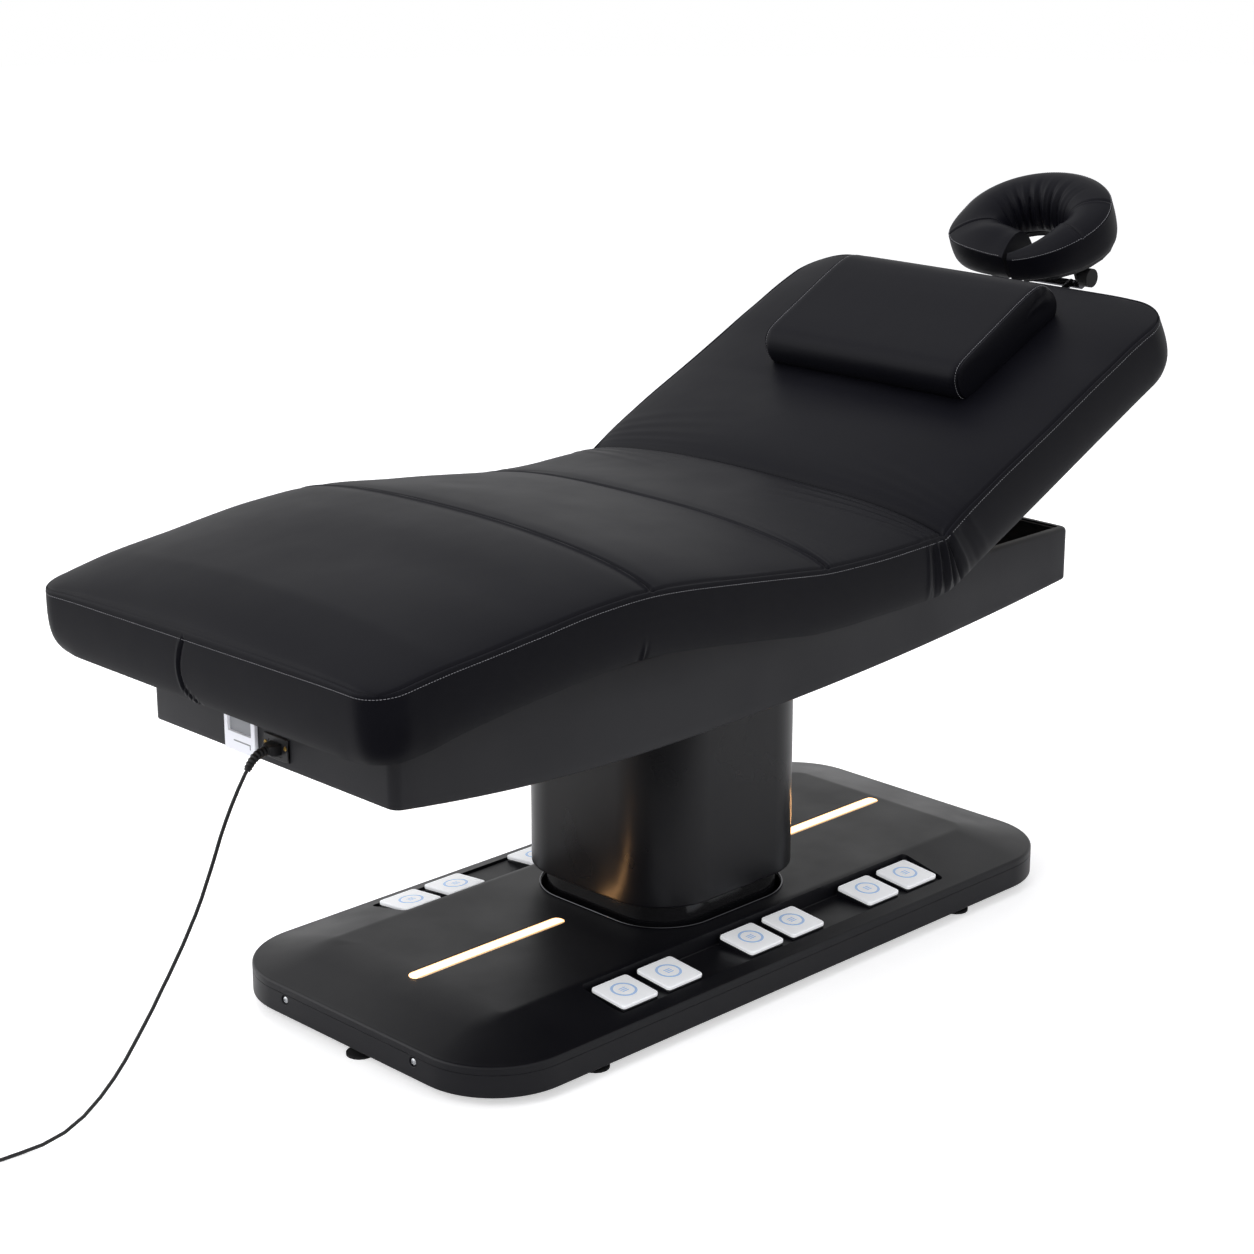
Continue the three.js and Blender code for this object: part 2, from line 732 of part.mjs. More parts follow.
function makeFolds() {
  const thighFrame = frameAt(hipX, hingeHeight, thighAngle);
  const knee = new THREE.Vector3(-thighLength, 0, 0).applyMatrix4(thighFrame);
  const calfFrame = frameAt(knee.x, knee.z, thighAngle - kneeBend);
  const kneeFrame = frameAt(knee.x, knee.z, thighAngle);
  add(lift, 'back_fold', foldPiece(frameAt(backHingeX, hingeHeight, 0), frameAt(backHingeX, hingeHeight, -backAngle),
    backFoldReach, backFoldReach / 2, foldDip), finishes.leather);
  add(lift, 'hip_fold', foldPiece(thighFrame, frameAt(hipX, hingeHeight, 0), legFoldReach, seamReach, seamDip),
    finishes.leather);
  add(lift, 'knee_fold', foldPiece(calfFrame, kneeFrame, legFoldReach, seamReach, seamDip), finishes.leather);
}

// Frames, hinges and levers

const frameTop = hingeDrop - seatGap;
const frameLow = frameTop - tubeHeight;
const innerLug = railPlace - tubeWidth / 2 - lugThickness / 2;
const outerLug = railPlace + lugThickness / 2 + runGap;
const firstBar = railEndInset + crossbarWidth / 2;

// A ladder frame of square tube: two rails, and crossbars at given places
function ladder(start, end, bars) {
  const rails = bothSides((side) => block([start, side * railPlace - tubeWidth / 2, frameLow],
    [end, side * railPlace + tubeWidth / 2, frameTop]));
  const half = crossbarWidth / 2;
  return join(rails, ...bars.map((x) => block([x - half, -railPlace, frameLow], [x + half, railPlace, frameTop])));
}

// Two lugs that carry a frame at a hinge: each a round eye on a plate that runs back to the rail
function lugs(hinge, place, toward) {
  const reach = toward * (railEndInset + lugOverlap);
  return bothSides((side) => {
    const near = side * place - lugThickness / 2;
    const plate = block([hinge, near, frameLow / 2], [hinge + reach, near + lugThickness, frameTop]);
    return plate.add(bar('y', lugRadius, lugThickness, [hinge, near, 0]));
  });
}

// The holes in a frame's inner lugs
function lugHoles(hinge) {
  const length = lugThickness + cutOverrun * 2;
  return bothSides((side) => bar('y', hingePinRadius + seatGap, length, [hinge, side * innerLug - length / 2, 0]));
}

// Short pins from a frame's outer lugs through the inner lugs of its neighbour
function lugPins(hinge) {
  const length = outerLug - innerLug + lugThickness;
  const middle = (outerLug + innerLug) / 2;
  return bothSides((side) => bar('y', hingePinRadius, length, [hinge, side * middle - length / 2, 0]));
}

// Where a lever's pin lies in the frame of its hinge
function leverTip(length, lag) {
  return [-length * Math.sin(rad(lag)), -length * Math.cos(rad(lag))];
}

// A lever below a frame's first crossbar, with a pin through its tip
function lever(length, lag, place, toward) {
  const [x, z] = leverTip(length, lag);
  const root = toward * firstBar;
  const outline = polygon([[root - crossbarWidth / 2, frameLow + lugOverlap], [x - leverTipHalf, z - leverPinRadius],
    [x + leverTipHalf, z - leverPinRadius], [root + crossbarWidth / 2, frameLow + lugOverlap]]);
  const arm = sidePlate(outline, place - leverThickness / 2, place + leverThickness / 2);
  const pinHalf = leverThickness / 2 + yokePlate + runGap * 2;
  return arm.add(bar('y', leverPinRadius, pinHalf * 2, [x, place - pinHalf, z]));
}

// A push rod that ends in two slotted plates, one on each side of a lever
function yokeRod(pinX, height, slot, place, rodEnd) {
  const slotHalf = leverPinRadius + yokeSlack;
  const [front, back] = [pinX + slotHalf + yokeWall, pinX - slotHalf - yokeWall - yokeReach];
  const inner = leverThickness / 2 + runGap;
  const tall = slot / 2 + yokeWall;
  const plates = bothSides((side) => {
    const [y0, y1] = [place + side * inner, place + side * (inner + yokePlate)];
    const hole = block([pinX - slotHalf, place, height - slot / 2],
      [pinX + slotHalf, place + side * actuatorHalf, height + slot / 2]);
    return block([back, y0, height - tall], [front, y1, height + tall]).subtract(hole);
  });
  const bridge = block([back - yokeWall, place - inner - yokePlate, height - rodRadius],
    [back + seatGap, place + inner + yokePlate, height + rodRadius]);
  return join(plates, bridge, bar('x', rodRadius, back - rodEnd, [rodEnd, place, height]));
}

// An actuator body lying along the tray on two feet, bored from the head end for its rod
function actuatorBody(start, end, place, height) {
  const outline = roundedRect(actuatorHalf, actuatorHalf, actuatorCornerRadius);
  const body = endPlate(outline, start, end).translate([0, place, height]);
  const bore = bar('x', rodRadius + runGap, end - start, [start + actuatorHalf, place, height]);
  const feet = [start + postWidth / 2, end - postWidth / 2].map((x) => block(
    [x - postWidth / 2, place - actuatorHalf, trayKeelHeight],
    [x + postWidth / 2, place + actuatorHalf, height - rodRadius * 2]));
  return join(body, ...feet).subtract(bore).intersect(trayBlock(trayWall + seatGap, trayRim));
}

// An actuator and its rod for the lever of one hinged section
function makeActuator(name, hinge, [x, z], room, place, height, slot) {
  const pin = new THREE.Vector3(x, 0, z).applyMatrix4(hinge);
  const end = pin.x - room;
  add(lift, `${name}_actuator`, actuatorBody(end - actuatorLength, end, place, height), finishes.motor);
  add(lift, `${name}_rod`, yokeRod(pin.x, height, slot, place, end - actuatorLength / 2), finishes.pin);
}

function makeActuators() {
  makeActuator('back', frameAt(backHingeX, hingeHeight, -backAngle), leverTip(backLever, backLeverLag),
    backPushRoom, backLeverPlace, hingeHeight - backLever * backYokeShare, backLever * backSlotShare);
  makeActuator('leg', frameAt(hipX, hingeHeight, thighAngle), leverTip(legLever, legLeverLag),
    legPushRoom, legLeverPlace, hingeHeight - legLever * legYokeShare, legLever * legSlotShare);
}

function makeSeat() {
  const deck = hingedGroup(lift, hipX, hingeHeight, 0);
  const length = backHingeX - hipX;
  const boardSpan = [boardHingeGap, length - boardHingeGap];
  add(deck, 'seat_cushion', middleSection(legFoldReach, length - backFoldReach).subtract(boardRecess(...boardSpan)),
    finishes.leather);
  add(deck, 'seat_board', board(...boardSpan), finishes.board);

  const bars = [firstBar, length - firstBar];
  const start = lugRadius + lugThickness;
  const frame = join(ladder(start, length - start, bars), lugs(0, innerLug, 1), lugs(length, innerLug, -1))
    .subtract(lugHoles(0)).subtract(lugHoles(length));
  const room = trayBlock(trayWall + seatGap, trayRim).translate([-hipX, 0, -hingeHeight]);
  const posts = bars.map((x) => bothSides((side) => block(
    [x - postWidth / 2, side * railPlace - tubeWidth / 2, trayKeelHeight - hingeHeight],
    [x + postWidth / 2, side * railPlace + tubeWidth / 2, frameLow / 2]).intersect(room)));
  add(deck, 'deck_frame', join(frame, ...posts), finishes.steel);
}

function makeLegs() {
  const thigh = hingedGroup(lift, hipX, hingeHeight, thighAngle);
  const thighBoard = [-boardHingeGap, -thighLength + boardHingeGap];
  add(thigh, 'thigh_cushion', middleSection(-legFoldReach, -thighLength + legFoldReach)
    .subtract(boardRecess(...thighBoard)), finishes.leather);
  add(thigh, 'thigh_board', board(...thighBoard), finishes.board);
  const thighBars = [-firstBar, -thighLength / 2, -thighLength + firstBar];
  const thighFrame = join(ladder(-railEndInset, -thighLength + railEndInset, thighBars), lugs(0, outerLug, -1),
    lugs(-thighLength, innerLug, 1), lugPins(0), lever(legLever, legLeverLag, legLeverPlace, -1));
  add(thigh, 'thigh_frame', thighFrame.subtract(lugHoles(-thighLength)), finishes.steel);

  const calf = hingedGroup(thigh, -thighLength, 0, -kneeBend);
  const calfBoard = [-boardHingeGap, -calfLength + boardEndMargin];
  add(calf, 'calf_cushion', endSection(-legFoldReach, -calfLength).subtract(boardRecess(...calfBoard)),
    finishes.leather);
  add(calf, 'calf_board', board(...calfBoard), finishes.board);
  const calfBars = [-firstBar, -calfFrameReach / 2, -calfFrameReach + crossbarWidth / 2];
  add(calf, 'calf_frame', join(ladder(-railEndInset, -calfFrameReach, calfBars), lugs(0, outerLug, -1), lugPins(0)),
    finishes.steel);
}

// Back section, with its pillow and cradle

// The cradle's rods slide in two bored cleats on top of the back board
const rodHeight = hingeDrop + boardThickness + cleatSide / 2;

function cleats(growth) {
  const half = cleatSide / 2 + growth;
  return bothSides((side) => block([cleatStart - growth, side * cradleRodPlace - half, hingeDrop],
    [backLength - boardEndMargin + growth, side * cradleRodPlace + half, rodHeight + half]));
}

function rodBores(radius, start) {
  return bothSides((side) => bar('x', radius, backLength + cutOverrun - start, [start, side * cradleRodPlace, rodHeight]));
}

function makeBack() {
  const back = hingedGroup(lift, backHingeX, hingeHeight, -backAngle);
  const span = [boardHingeGap, backLength - boardEndMargin];
  add(back, 'back_cushion', endSection(backFoldReach, backLength).subtract(boardRecess(...span))
    .subtract(cleats(seatGap)).subtract(rodBores(cradleRodRadius + runGap, span[1])), finishes.leather);
  add(back, 'back_board', board(...span).add(cleats(0)).subtract(rodBores(cradleRodRadius + seatGap,
    cleatStart + cleatSide)), finishes.board);
  const gap = (backFrameReach - crossbarWidth / 2 - firstBar) / 2;
  const bars = [0, 1, 2].map((i) => firstBar + i * gap);
  add(back, 'back_frame', join(ladder(railEndInset, backFrameReach, bars), lugs(0, outerLug, 1), lugPins(0),
    lever(backLever, backLeverLag, backLeverPlace, 1)), finishes.steel);
  makePillow(back);
  makeCradle(back);
}

function makePillow(back) {
  const rest = hingeDrop + mattressThickness + crownHeight + seatGap;
  const loops = pillowSectionShares.map(([across, size]) => pillowOutlineShares.map(([along, up]) => [
    pillowStart + pillowLength * (1 - size) / 2 + pillowLength * along * size,
    pillowHalfWidth * across,
    rest + pillowHeight * up * size,
  ]));
  add(back, 'pillow', loftSolid(loops), finishes.leather);
}

// A point of the cradle's outline, drawn in by an inset. The angle runs from the slot round the far side.
// The quarter beside the slot on the far side is squarer, as its end is cut flat.
function cradlePoint(angle, inset) {
  const [c, s] = [Math.cos(angle), Math.sin(angle)];
  const square = c > 0 && s > 0 && inset === 0 ? cradleSquareShare : 1;
  return [-(cradleHalfLength - inset) * Math.sign(c) * Math.abs(c) ** square,
    (cradleHalfWidth - inset) * Math.sign(s) * Math.abs(s) ** square];
}

// Sweeps a section round the oval from one end of the slot to the other
function cradleRing(innerInset, outerInset, section, slotHalf) {
  const start = Math.asin((cradleSlotPlace + slotHalf) / cradleHalfWidth);
  const end = Math.PI * 2 + Math.asin((cradleSlotPlace - slotHalf) / cradleHalfWidth);
  const loops = Array.from({ length: loopSteps + 1 }, (_, i) => {
    const angle = start + (i / loopSteps) * (end - start);
    const [outer, inner] = [cradlePoint(angle, outerInset), cradlePoint(angle, innerInset)];
    return section.map(([share, height]) => [
      cradleCentre + inner[0] + (outer[0] - inner[0]) * share,
      inner[1] + (outer[1] - inner[1]) * share,
      height,
    ]);
  });
  return loftSolid(loops);
}

function makeCradle(back) {
  const low = hingeDrop + cradleTop - cradleThickness;
  const section = cradleSectionShares.map(([share, up]) => [share, low + cradleThickness * up]);
  add(back, 'cradle_cushion', cradleRing(cradleTubeWidth, 0, section, cradleSlotHalf), finishes.leather);

  const plateTop = low - seatGap;
  const plateLow = plateTop - cradlePlateThickness;
  const flat = [[0, plateLow], [1, plateLow], [1, plateTop], [0, plateTop]];
  const plate = cradleRing(cradlePlateInset + cradlePlateWidth, cradlePlateInset, flat, cradlePlateSlotHalf);
  const ears = bothSides((side) => cradleEar(side, plateTop - cradlePlateThickness / 2));
  add(back, 'cradle_plate', plate.add(ears), finishes.plastic);
  add(back, 'cradle_bracket', cradleBracket(), finishes.chrome);
  const start = cradlePinPlace + cradleArmThickness * 2 + runGap + seatGap;
  add(back, 'cradle_knob', bar('y', knobRadius, knobLength,
    [cradleHingePlace, -start - knobLength, cradleHingeHeight]), finishes.rubber);
}

// An ear under the cradle plate, with a hole for the tilt pin
function cradleEar(side, top) {
  const middle = side * (cradlePinPlace + cradleArmThickness / 2);
  const near = middle - cradleArmThickness / 2;
  const [x, z, half] = [cradleHingePlace, cradleHingeHeight, cradleArmHalf];
  const outline = polygon([[x - half, z], [x + half, z - half / 2], [x + cradleEarReach, top], [x - half, top]]);
  const hole = bar('y', cradlePinRadius + seatGap, cradleArmThickness * 2, [x, middle - cradleArmThickness, z]);
  return sidePlate(outline, near, near + cradleArmThickness).add(bar('y', half, cradleArmThickness, [x, near, z]))
    .subtract(hole);
}

// Two rods joined by a bridge, and an upright with a tilt pin on each side
function cradleBracket() {
  const [x, z, half] = [cradleHingePlace, cradleHingeHeight, cradleArmHalf];
  const far = cradlePinPlace + cradleArmThickness * 2 + runGap;
  const rods = bothSides((side) => bar('x', cradleRodRadius, x - cradleRodInner, [cradleRodInner, side * cradleRodPlace,
    rodHeight]));
  const bridge = block([x - half, -far, rodHeight - cradleRodRadius], [x + half, far, rodHeight - cradleRodRadius / 2]);
  const uprights = bothSides((side) => {
    const [inner, outer] = [side * (far - cradleArmThickness), side * far];
    const near = Math.min(inner, outer);
    const post = block([x - half, inner, rodHeight - cradleRodRadius], [x + half, outer, z]);
    const pinEnd = side * (cradlePinPlace - runGap);
    const pin = bar('y', cradlePinRadius, Math.abs(outer - pinEnd), [x, Math.min(outer, pinEnd), z]);
    return join(post, bar('y', half, cradleArmThickness, [x, near, z]), pin);
  });
  return join(rods, bridge, uprights);
}

// Electrics

function makeElectrics() {
  const face = trayFootEnd - seatGap;
  const window = endPlate(rectangle(panelWidth / 2 - panelFrame, panelHeight / 2 - panelFrame),
    face - panelThickness - cutOverrun, face - panelFloor);
  add(lift, 'service_panel', endPlate(rectangle(panelWidth / 2, panelHeight / 2), face - panelThickness, face)
    .subtract(window).translate([0, panelCentreY, panelHigh - panelHeight / 2]), finishes.panel);

  const [halfWidth, half] = [inletWidth / 2, inletHeight / 2];
  const neck = rectangle(halfWidth - inletRim - runGap, half - inletRim - runGap);
  const socket = rectangle(connectorWidth / 2 + seatGap, connectorHeight / 2 + seatGap);
  const inlet = endPlate(rectangle(halfWidth, half), face - inletThickness, face)
    .add(endPlate(neck, face - inletThickness, powerUnitStart + lugOverlap))
    .subtract(endPlate(socket, face - inletThickness - cutOverrun, face + inletDepth))
    .translate([0, inletCentreY, inletCentreZ]);
  const box = block([powerUnitStart, -powerUnitHalfWidth, trayKeelHeight],
    [powerUnitStart + powerUnitLength, powerUnitHalfWidth, powerUnitTop])
    .intersect(trayBlock(trayWall + seatGap, trayRim));
  add(lift, 'power_unit', inlet.add(box), finishes.plastic);
}

// The ribbed boot as a row of rings along a drooping curve
function bootRings(start) {
  const count = bootRibs * 2;
  return Array.from({ length: count + 1 }, (_, i) => {
    const share = i / count;
    const radius = (bootRadius + (bootTipRadius - bootRadius) * share) * (i % 2 ? ribShare : 1);
    const tilt = Math.atan2(2 * bootDroop * share, bootLength);
    return Array.from({ length: bootSides }, (_, k) => {
      const turn = (k / bootSides) * Math.PI * 2;
      const up = radius * Math.sin(turn);
      return [start - share * bootLength - up * Math.sin(tilt), inletCentreY + radius * Math.cos(turn),
        inletCentreZ - bootDroop * share ** 2 + up * Math.cos(tilt)];
    });
  });
}

function makeConnector() {
  const face = trayFootEnd - seatGap;
  const front = face - inletThickness - connectorLength;
  const body = endPlate(rectangle(connectorWidth / 2, connectorHeight / 2), front, face + inletDepth - seatGap)
    .translate([0, inletCentreY, inletCentreZ]);
  add(lift, 'cord_connector', body.add(loftSolid(bootRings(front + seatGap))), finishes.plastic);
}

// A ring of points round a centre, square to the way that the cord runs there
function ringAround(centre, tangent, radius, sides) {
  const across = new THREE.Vector3(-tangent.y, tangent.x, 0).normalize();
  const up = new THREE.Vector3().crossVectors(tangent, across);
  return Array.from({ length: sides }, (_, i) => {
    const turn = ((i + 0.5) / sides) * Math.PI * 2;
    return centre.clone().addScaledVector(across, radius * Math.cos(turn)).addScaledVector(up, radius * Math.sin(turn))
      .toArray();
  });
}

// The cord's turns: in towards the middle on the floor, up in the half turn where the spiral
// reverses, and out again above. The run into the coil and the tail to the plug are straight.
function coilPath() {
  const [endX, lineY, floorZ] = cordRoute[cordRoute.length - 1];
  const perLayer = coilLoops / coilLayers;
  const outer = coilRadius + coilPitch * perLayer / 2;
  const start = endX - seatGap;
  const [centreX, centreY] = [start - coilLead, lineY - outer];
  const path = [new THREE.Vector3(start, lineY, floorZ)];
  for (let i = 0; i <= coilLoops * loopSteps; i += 1) {
    const turn = i / loopSteps;
    const radius = outer - coilPitch * (perLayer - Math.abs(turn - perLayer));
    const climb = THREE.MathUtils.clamp((turn - perLayer) * 2 + 0.5, 0, 1);
    const angle = Math.PI / 2 + turn * Math.PI * 2;
    path.push(new THREE.Vector3(centreX + radius * Math.cos(angle), centreY + radius * Math.sin(angle),
      floorZ + climb * coilPitch));
  }
  for (let i = 1; i <= 4; i += 1) {
    path.push(new THREE.Vector3(centreX - coilTail * i / 4, lineY, floorZ + coilPitch));
  }
  return path;
}

// The least distance between two stretches of a path, less the cord's own diameter
function leastGap(path) {
  const fine = new THREE.CatmullRomCurve3(path).getSpacedPoints(path.length * 4);
  const step = fine[0].distanceTo(fine[1]);
  const apart = Math.ceil((cordDiameter * 3) / step);
  let least = Infinity;
  for (let i = 0; i < fine.length; i += 1) {
    for (let k = i + apart; k < fine.length; k += 1) least = Math.min(least, fine[i].distanceTo(fine[k]));
  }
  return least - cordDiameter;
}

function makeCord() {
  makeConnector();
  const section = new THREE.Shape(Array.from({ length: cordSides }, (_, i) => {
    const turn = (i / cordSides) * Math.PI * 2;
    return new THREE.Vector2(Math.cos(turn), Math.sin(turn)).multiplyScalar(cordDiameter / 2);
  }));
  const curve = new THREE.CatmullRomCurve3(cordRoute.map((p) => new THREE.Vector3(...p)), false, 'centripetal');
  add(lift, 'cord_run', toSolid(new THREE.ExtrudeGeometry(section, { steps: cordSteps, extrudePath: curve })),
    finishes.plastic);

  const path = coilPath();
  const rings = path.map((point, i) => {
    const tangent = path[Math.min(i + 1, path.length - 1)].clone().sub(path[Math.max(i - 1, 0)]).normalize();
    return ringAround(point, tangent, cordDiameter / 2, coilSides);
  });
  add(part, 'cord_coil', loftSolid(rings), finishes.plastic);
  const length = curve.getLength() + new THREE.CatmullRomCurve3(path).getLength();
  console.log(`cord_coil: least gap to itself ${leastGap(path).toFixed(2)} mm; lead ${length.toFixed(0)} mm long`);
  makePlug(path[path.length - 1]);
}

// The plug lies on the floor past the coil, its two pins pointing away from the cord
function makePlug(end) {
  const face = end.x - seatGap;
  const section = (share) => {
    const shape = roundedRect(plugWidth * share / 2, plugThickness * share / 2, plugCornerRadius * share);
    return shape.getPoints(1).map((p) => [p.x, p.y + plugThickness / 2]);
  };
  const loopAt = (x, share) => section(share).map(([y, z]) => [x, end.y + y, z]);
  const shoulder = face - plugLength / 2;
  const body = loftSolid([loopAt(face, plugTaperShare), loopAt(shoulder, 1), loopAt(face - plugLength, 1)]);
  const pins = bothSides((side) => bar('x', plugPinRadius, plugPinLength + seatGap,
    [face - plugLength - plugPinLength, end.y + side * plugPinPlace, plugThickness / 2]));
  add(part, 'cord_plug', body.add(pins), finishes.plastic);
}

// The origin is on the floor, in the middle of the bed without its lead
function centreBed() {
  part.updateMatrixWorld(true);
  const box = new THREE.Box3();
  part.traverse((piece) => {
    if (piece.isMesh && !piece.name.startsWith('cord_')) box.expandByObject(piece, true);
  });
  part.position.x = -(box.min.x + box.max.x) / 2;
}

makeBase();
makeFeet();
makePedals('near', -1);
makePedals('far', 1);
makeTray();
makeOuterColumn();
makeSeat();
makeLegs();
makeBack();
makeFolds();
makeActuators();
makeElectrics();
makeCord();
centreBed();

export default part;
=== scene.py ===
# %% [markdown]
# # An electric treatment bed, dressed for the camera
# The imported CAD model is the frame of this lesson: sixty rigid parts on their joints, in metres, X
# towards the face cradle, Z up. The script loads it, hides what is soft or too coarse behind finer
# surfaces worked out with numpy, and gives every part a finish made from nodes.

# %% Load the frame
import json
import math
import bmesh
import bpy
import numpy as np
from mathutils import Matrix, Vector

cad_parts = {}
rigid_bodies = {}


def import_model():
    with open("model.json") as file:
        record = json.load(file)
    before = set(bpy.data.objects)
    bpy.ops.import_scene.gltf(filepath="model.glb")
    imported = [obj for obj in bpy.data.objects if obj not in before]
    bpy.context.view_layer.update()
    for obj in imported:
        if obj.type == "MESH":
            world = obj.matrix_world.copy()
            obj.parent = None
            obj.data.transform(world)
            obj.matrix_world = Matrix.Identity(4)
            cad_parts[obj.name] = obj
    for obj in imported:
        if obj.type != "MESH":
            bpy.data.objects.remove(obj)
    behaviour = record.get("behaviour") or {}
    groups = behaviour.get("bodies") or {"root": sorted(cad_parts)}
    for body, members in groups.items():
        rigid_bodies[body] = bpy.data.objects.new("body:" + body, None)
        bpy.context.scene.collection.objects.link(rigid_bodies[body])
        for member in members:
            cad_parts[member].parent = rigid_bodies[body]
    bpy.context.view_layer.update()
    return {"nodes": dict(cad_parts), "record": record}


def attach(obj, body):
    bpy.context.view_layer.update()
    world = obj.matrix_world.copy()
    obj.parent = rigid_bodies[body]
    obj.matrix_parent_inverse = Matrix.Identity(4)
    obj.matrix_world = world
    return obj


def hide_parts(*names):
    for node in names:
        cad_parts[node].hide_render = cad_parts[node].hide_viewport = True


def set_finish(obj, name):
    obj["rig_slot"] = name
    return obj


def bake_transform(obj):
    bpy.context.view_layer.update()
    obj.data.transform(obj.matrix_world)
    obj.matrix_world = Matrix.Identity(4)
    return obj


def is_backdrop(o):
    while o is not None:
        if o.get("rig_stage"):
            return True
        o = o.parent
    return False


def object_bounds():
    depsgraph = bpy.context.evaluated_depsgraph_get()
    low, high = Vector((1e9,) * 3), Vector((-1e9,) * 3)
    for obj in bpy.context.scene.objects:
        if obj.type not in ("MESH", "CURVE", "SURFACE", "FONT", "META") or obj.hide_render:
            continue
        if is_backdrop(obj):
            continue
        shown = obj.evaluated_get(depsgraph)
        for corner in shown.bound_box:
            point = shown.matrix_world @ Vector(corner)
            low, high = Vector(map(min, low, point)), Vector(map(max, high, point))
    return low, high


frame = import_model()

# %% [markdown]
# ## The camera
# The photograph was solved beforehand for its camera: a long lens, a little above the mattress,
# looking across the bed from its foot end. A long lens keeps parallel edges nearly parallel, so the
# camera stands far away. No shift and no depth of field are needed.

# %% Camera
camera = bpy.data.objects.new("studio_camera", bpy.data.cameras.new("studio_camera"))
bpy.context.collection.objects.link(camera)
camera.data.sensor_width, camera.data.lens = 36.0, 81.04
camera.location = (-3.2045, -3.0786, 1.9081)
camera.rotation_euler = [math.radians(a) for a in (90 - 17.324, 0.028, -44.706)]
bpy.context.scene.camera = camera
bpy.context.scene.view_settings.view_transform = "Standard"
print("field of view", round(math.degrees(2 * math.atan(18 / camera.data.lens)), 2), "degrees")

# %% [markdown]
# ## From measured millimetres to the scene
# All sizes below were measured in millimetres from the middle of the lift column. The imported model's
# origin is the middle of the bed's box, so the scene's x is 78.65 mm less. The back section has its
# own frame as well: along the board from the hinge, across, and up from the hinge.

# %% Two frames of reference
ORIGIN_X = 78.65306392655475
BACK_HINGE, BACK_ANGLE = (242.0, 618.0), math.radians(25)


def metres(points):
    """Scene metres = (x - 78.65, y, z) / 1000 of measured millimetres."""
    return (np.asarray(points, float) - (ORIGIN_X, 0, 0)) / 1000


def on_back(along, across, up):
    """Hinge + along * (cos, 0, sin) + across * (0, 1, 0) + up * (-sin, 0, cos), in scene metres."""
    along, across, up = np.broadcast_arrays(*[np.asarray(v, float) for v in (along, across, up)])
    c, s = math.cos(BACK_ANGLE), math.sin(BACK_ANGLE)
    x, z = BACK_HINGE[0] + along * c - up * s, BACK_HINGE[1] + along * s + up * c
    return metres(np.stack([x, across, z], axis=-1))


print("back frame's origin", on_back(0, 0, 0))

# %% [markdown]
# ## Turning arrays into pieces
# A numpy grid of points becomes a mesh in one call. The points lie in rows and columns, and four
# neighbours make a quad. Face directions are worked out afterwards on the closed shell, which is
# simpler than keeping track of them in every formula.


# %% Grids and pieces
def quads(rows, columns, around=False, closed=False):
    """Corners (i, j), (i+1, j), (i+1, j+1), (i, j+1) for each cell; around joins the last column to
    the first, and closed joins the last row to the first."""
    i, j = np.meshgrid(np.arange(rows if closed else rows - 1),
                       np.arange(columns if around else columns - 1), indexing="ij")
    i, j = i.ravel(), j.ravel()
    k, m = (i + 1) % rows, (j + 1) % columns
    return np.stack([i * columns + j, k * columns + j, k * columns + m, i * columns + m], axis=1)


def piece(name, points, faces, slot, body=None, sharp=35):
    """A mesh object from points in metres and lists of corners, smooth below the sharp angle."""
    mesh = bpy.data.meshes.new(name)
    mesh.from_pydata(np.asarray(points, float).reshape(-1, 3).tolist(), [],
                     [list(map(int, f)) for f in faces])
    turned = bmesh.new()
    turned.from_mesh(mesh)
    bmesh.ops.remove_doubles(turned, verts=turned.verts, dist=1e-6)
    bmesh.ops.recalc_face_normals(turned, faces=turned.faces)
    turned.to_mesh(mesh)
    turned.free()
    mesh.shade_smooth()
    mesh.set_sharp_from_angle(angle=math.radians(sharp))
    made = bpy.data.objects.new(name, mesh)
    bpy.context.collection.objects.link(made)
    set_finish(made, slot)
    if body:
        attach(made, body)
    return made


def loft(name, loops, slot, body=None, sharp=35, closed=False):
    """A skin over a stack of equal closed loops, an array (loops, points, 3), capped at both ends."""
    loops = np.asarray(loops, float)
    rows, columns = loops.shape[:2]
    faces = quads(rows, columns, around=True, closed=closed).tolist()
    if not closed:
        faces += [list(range(columns)), list(range((rows - 1) * columns, rows * columns))]
    return piece(name, loops, faces, slot, body, sharp)


def rounded_rectangle(half_x, half_y, radius, steps):
    """Four quarter circles: corner centre (+-(half_x - radius), +-(half_y - radius)) plus
    radius * (cos, sin) of steps + 1 angles each, anticlockwise from +x."""
    turn = np.linspace(0, math.pi / 2, steps + 1)
    turns = np.concatenate([turn + q * math.pi / 2 for q in range(4)])
    signs = np.repeat([(1, 1), (-1, 1), (-1, -1), (1, -1)], steps + 1, axis=0)
    corner = signs * (half_x - radius, half_y - radius)
    return corner + radius * np.stack([np.cos(turns), np.sin(turns)], axis=1)


def unit(rows):
    """Each row divided by its length."""
    return rows / np.linalg.norm(rows, axis=1, keepdims=True)


def travelled(line):
    """Distance along a polyline at each of its points."""
    return np.concatenate([[0], np.cumsum(np.linalg.norm(np.diff(line, axis=0), axis=1))])


def sampled(at, gone, values):
    """Each column of values, known at the places gone, read at the places at."""
    return np.stack([np.interp(at, gone, column) for column in values.T], axis=1)


def discs(y, z, stations, sides=20):
    """Circles that face along x round (y, z) in mm: one of radius r at each (x, r) station."""
    turn = np.arange(sides) / sides * 2 * math.pi
    return [np.column_stack([np.full(sides, x), y + r * np.cos(turn), z + r * np.sin(turn)])
            for x, r in stations]


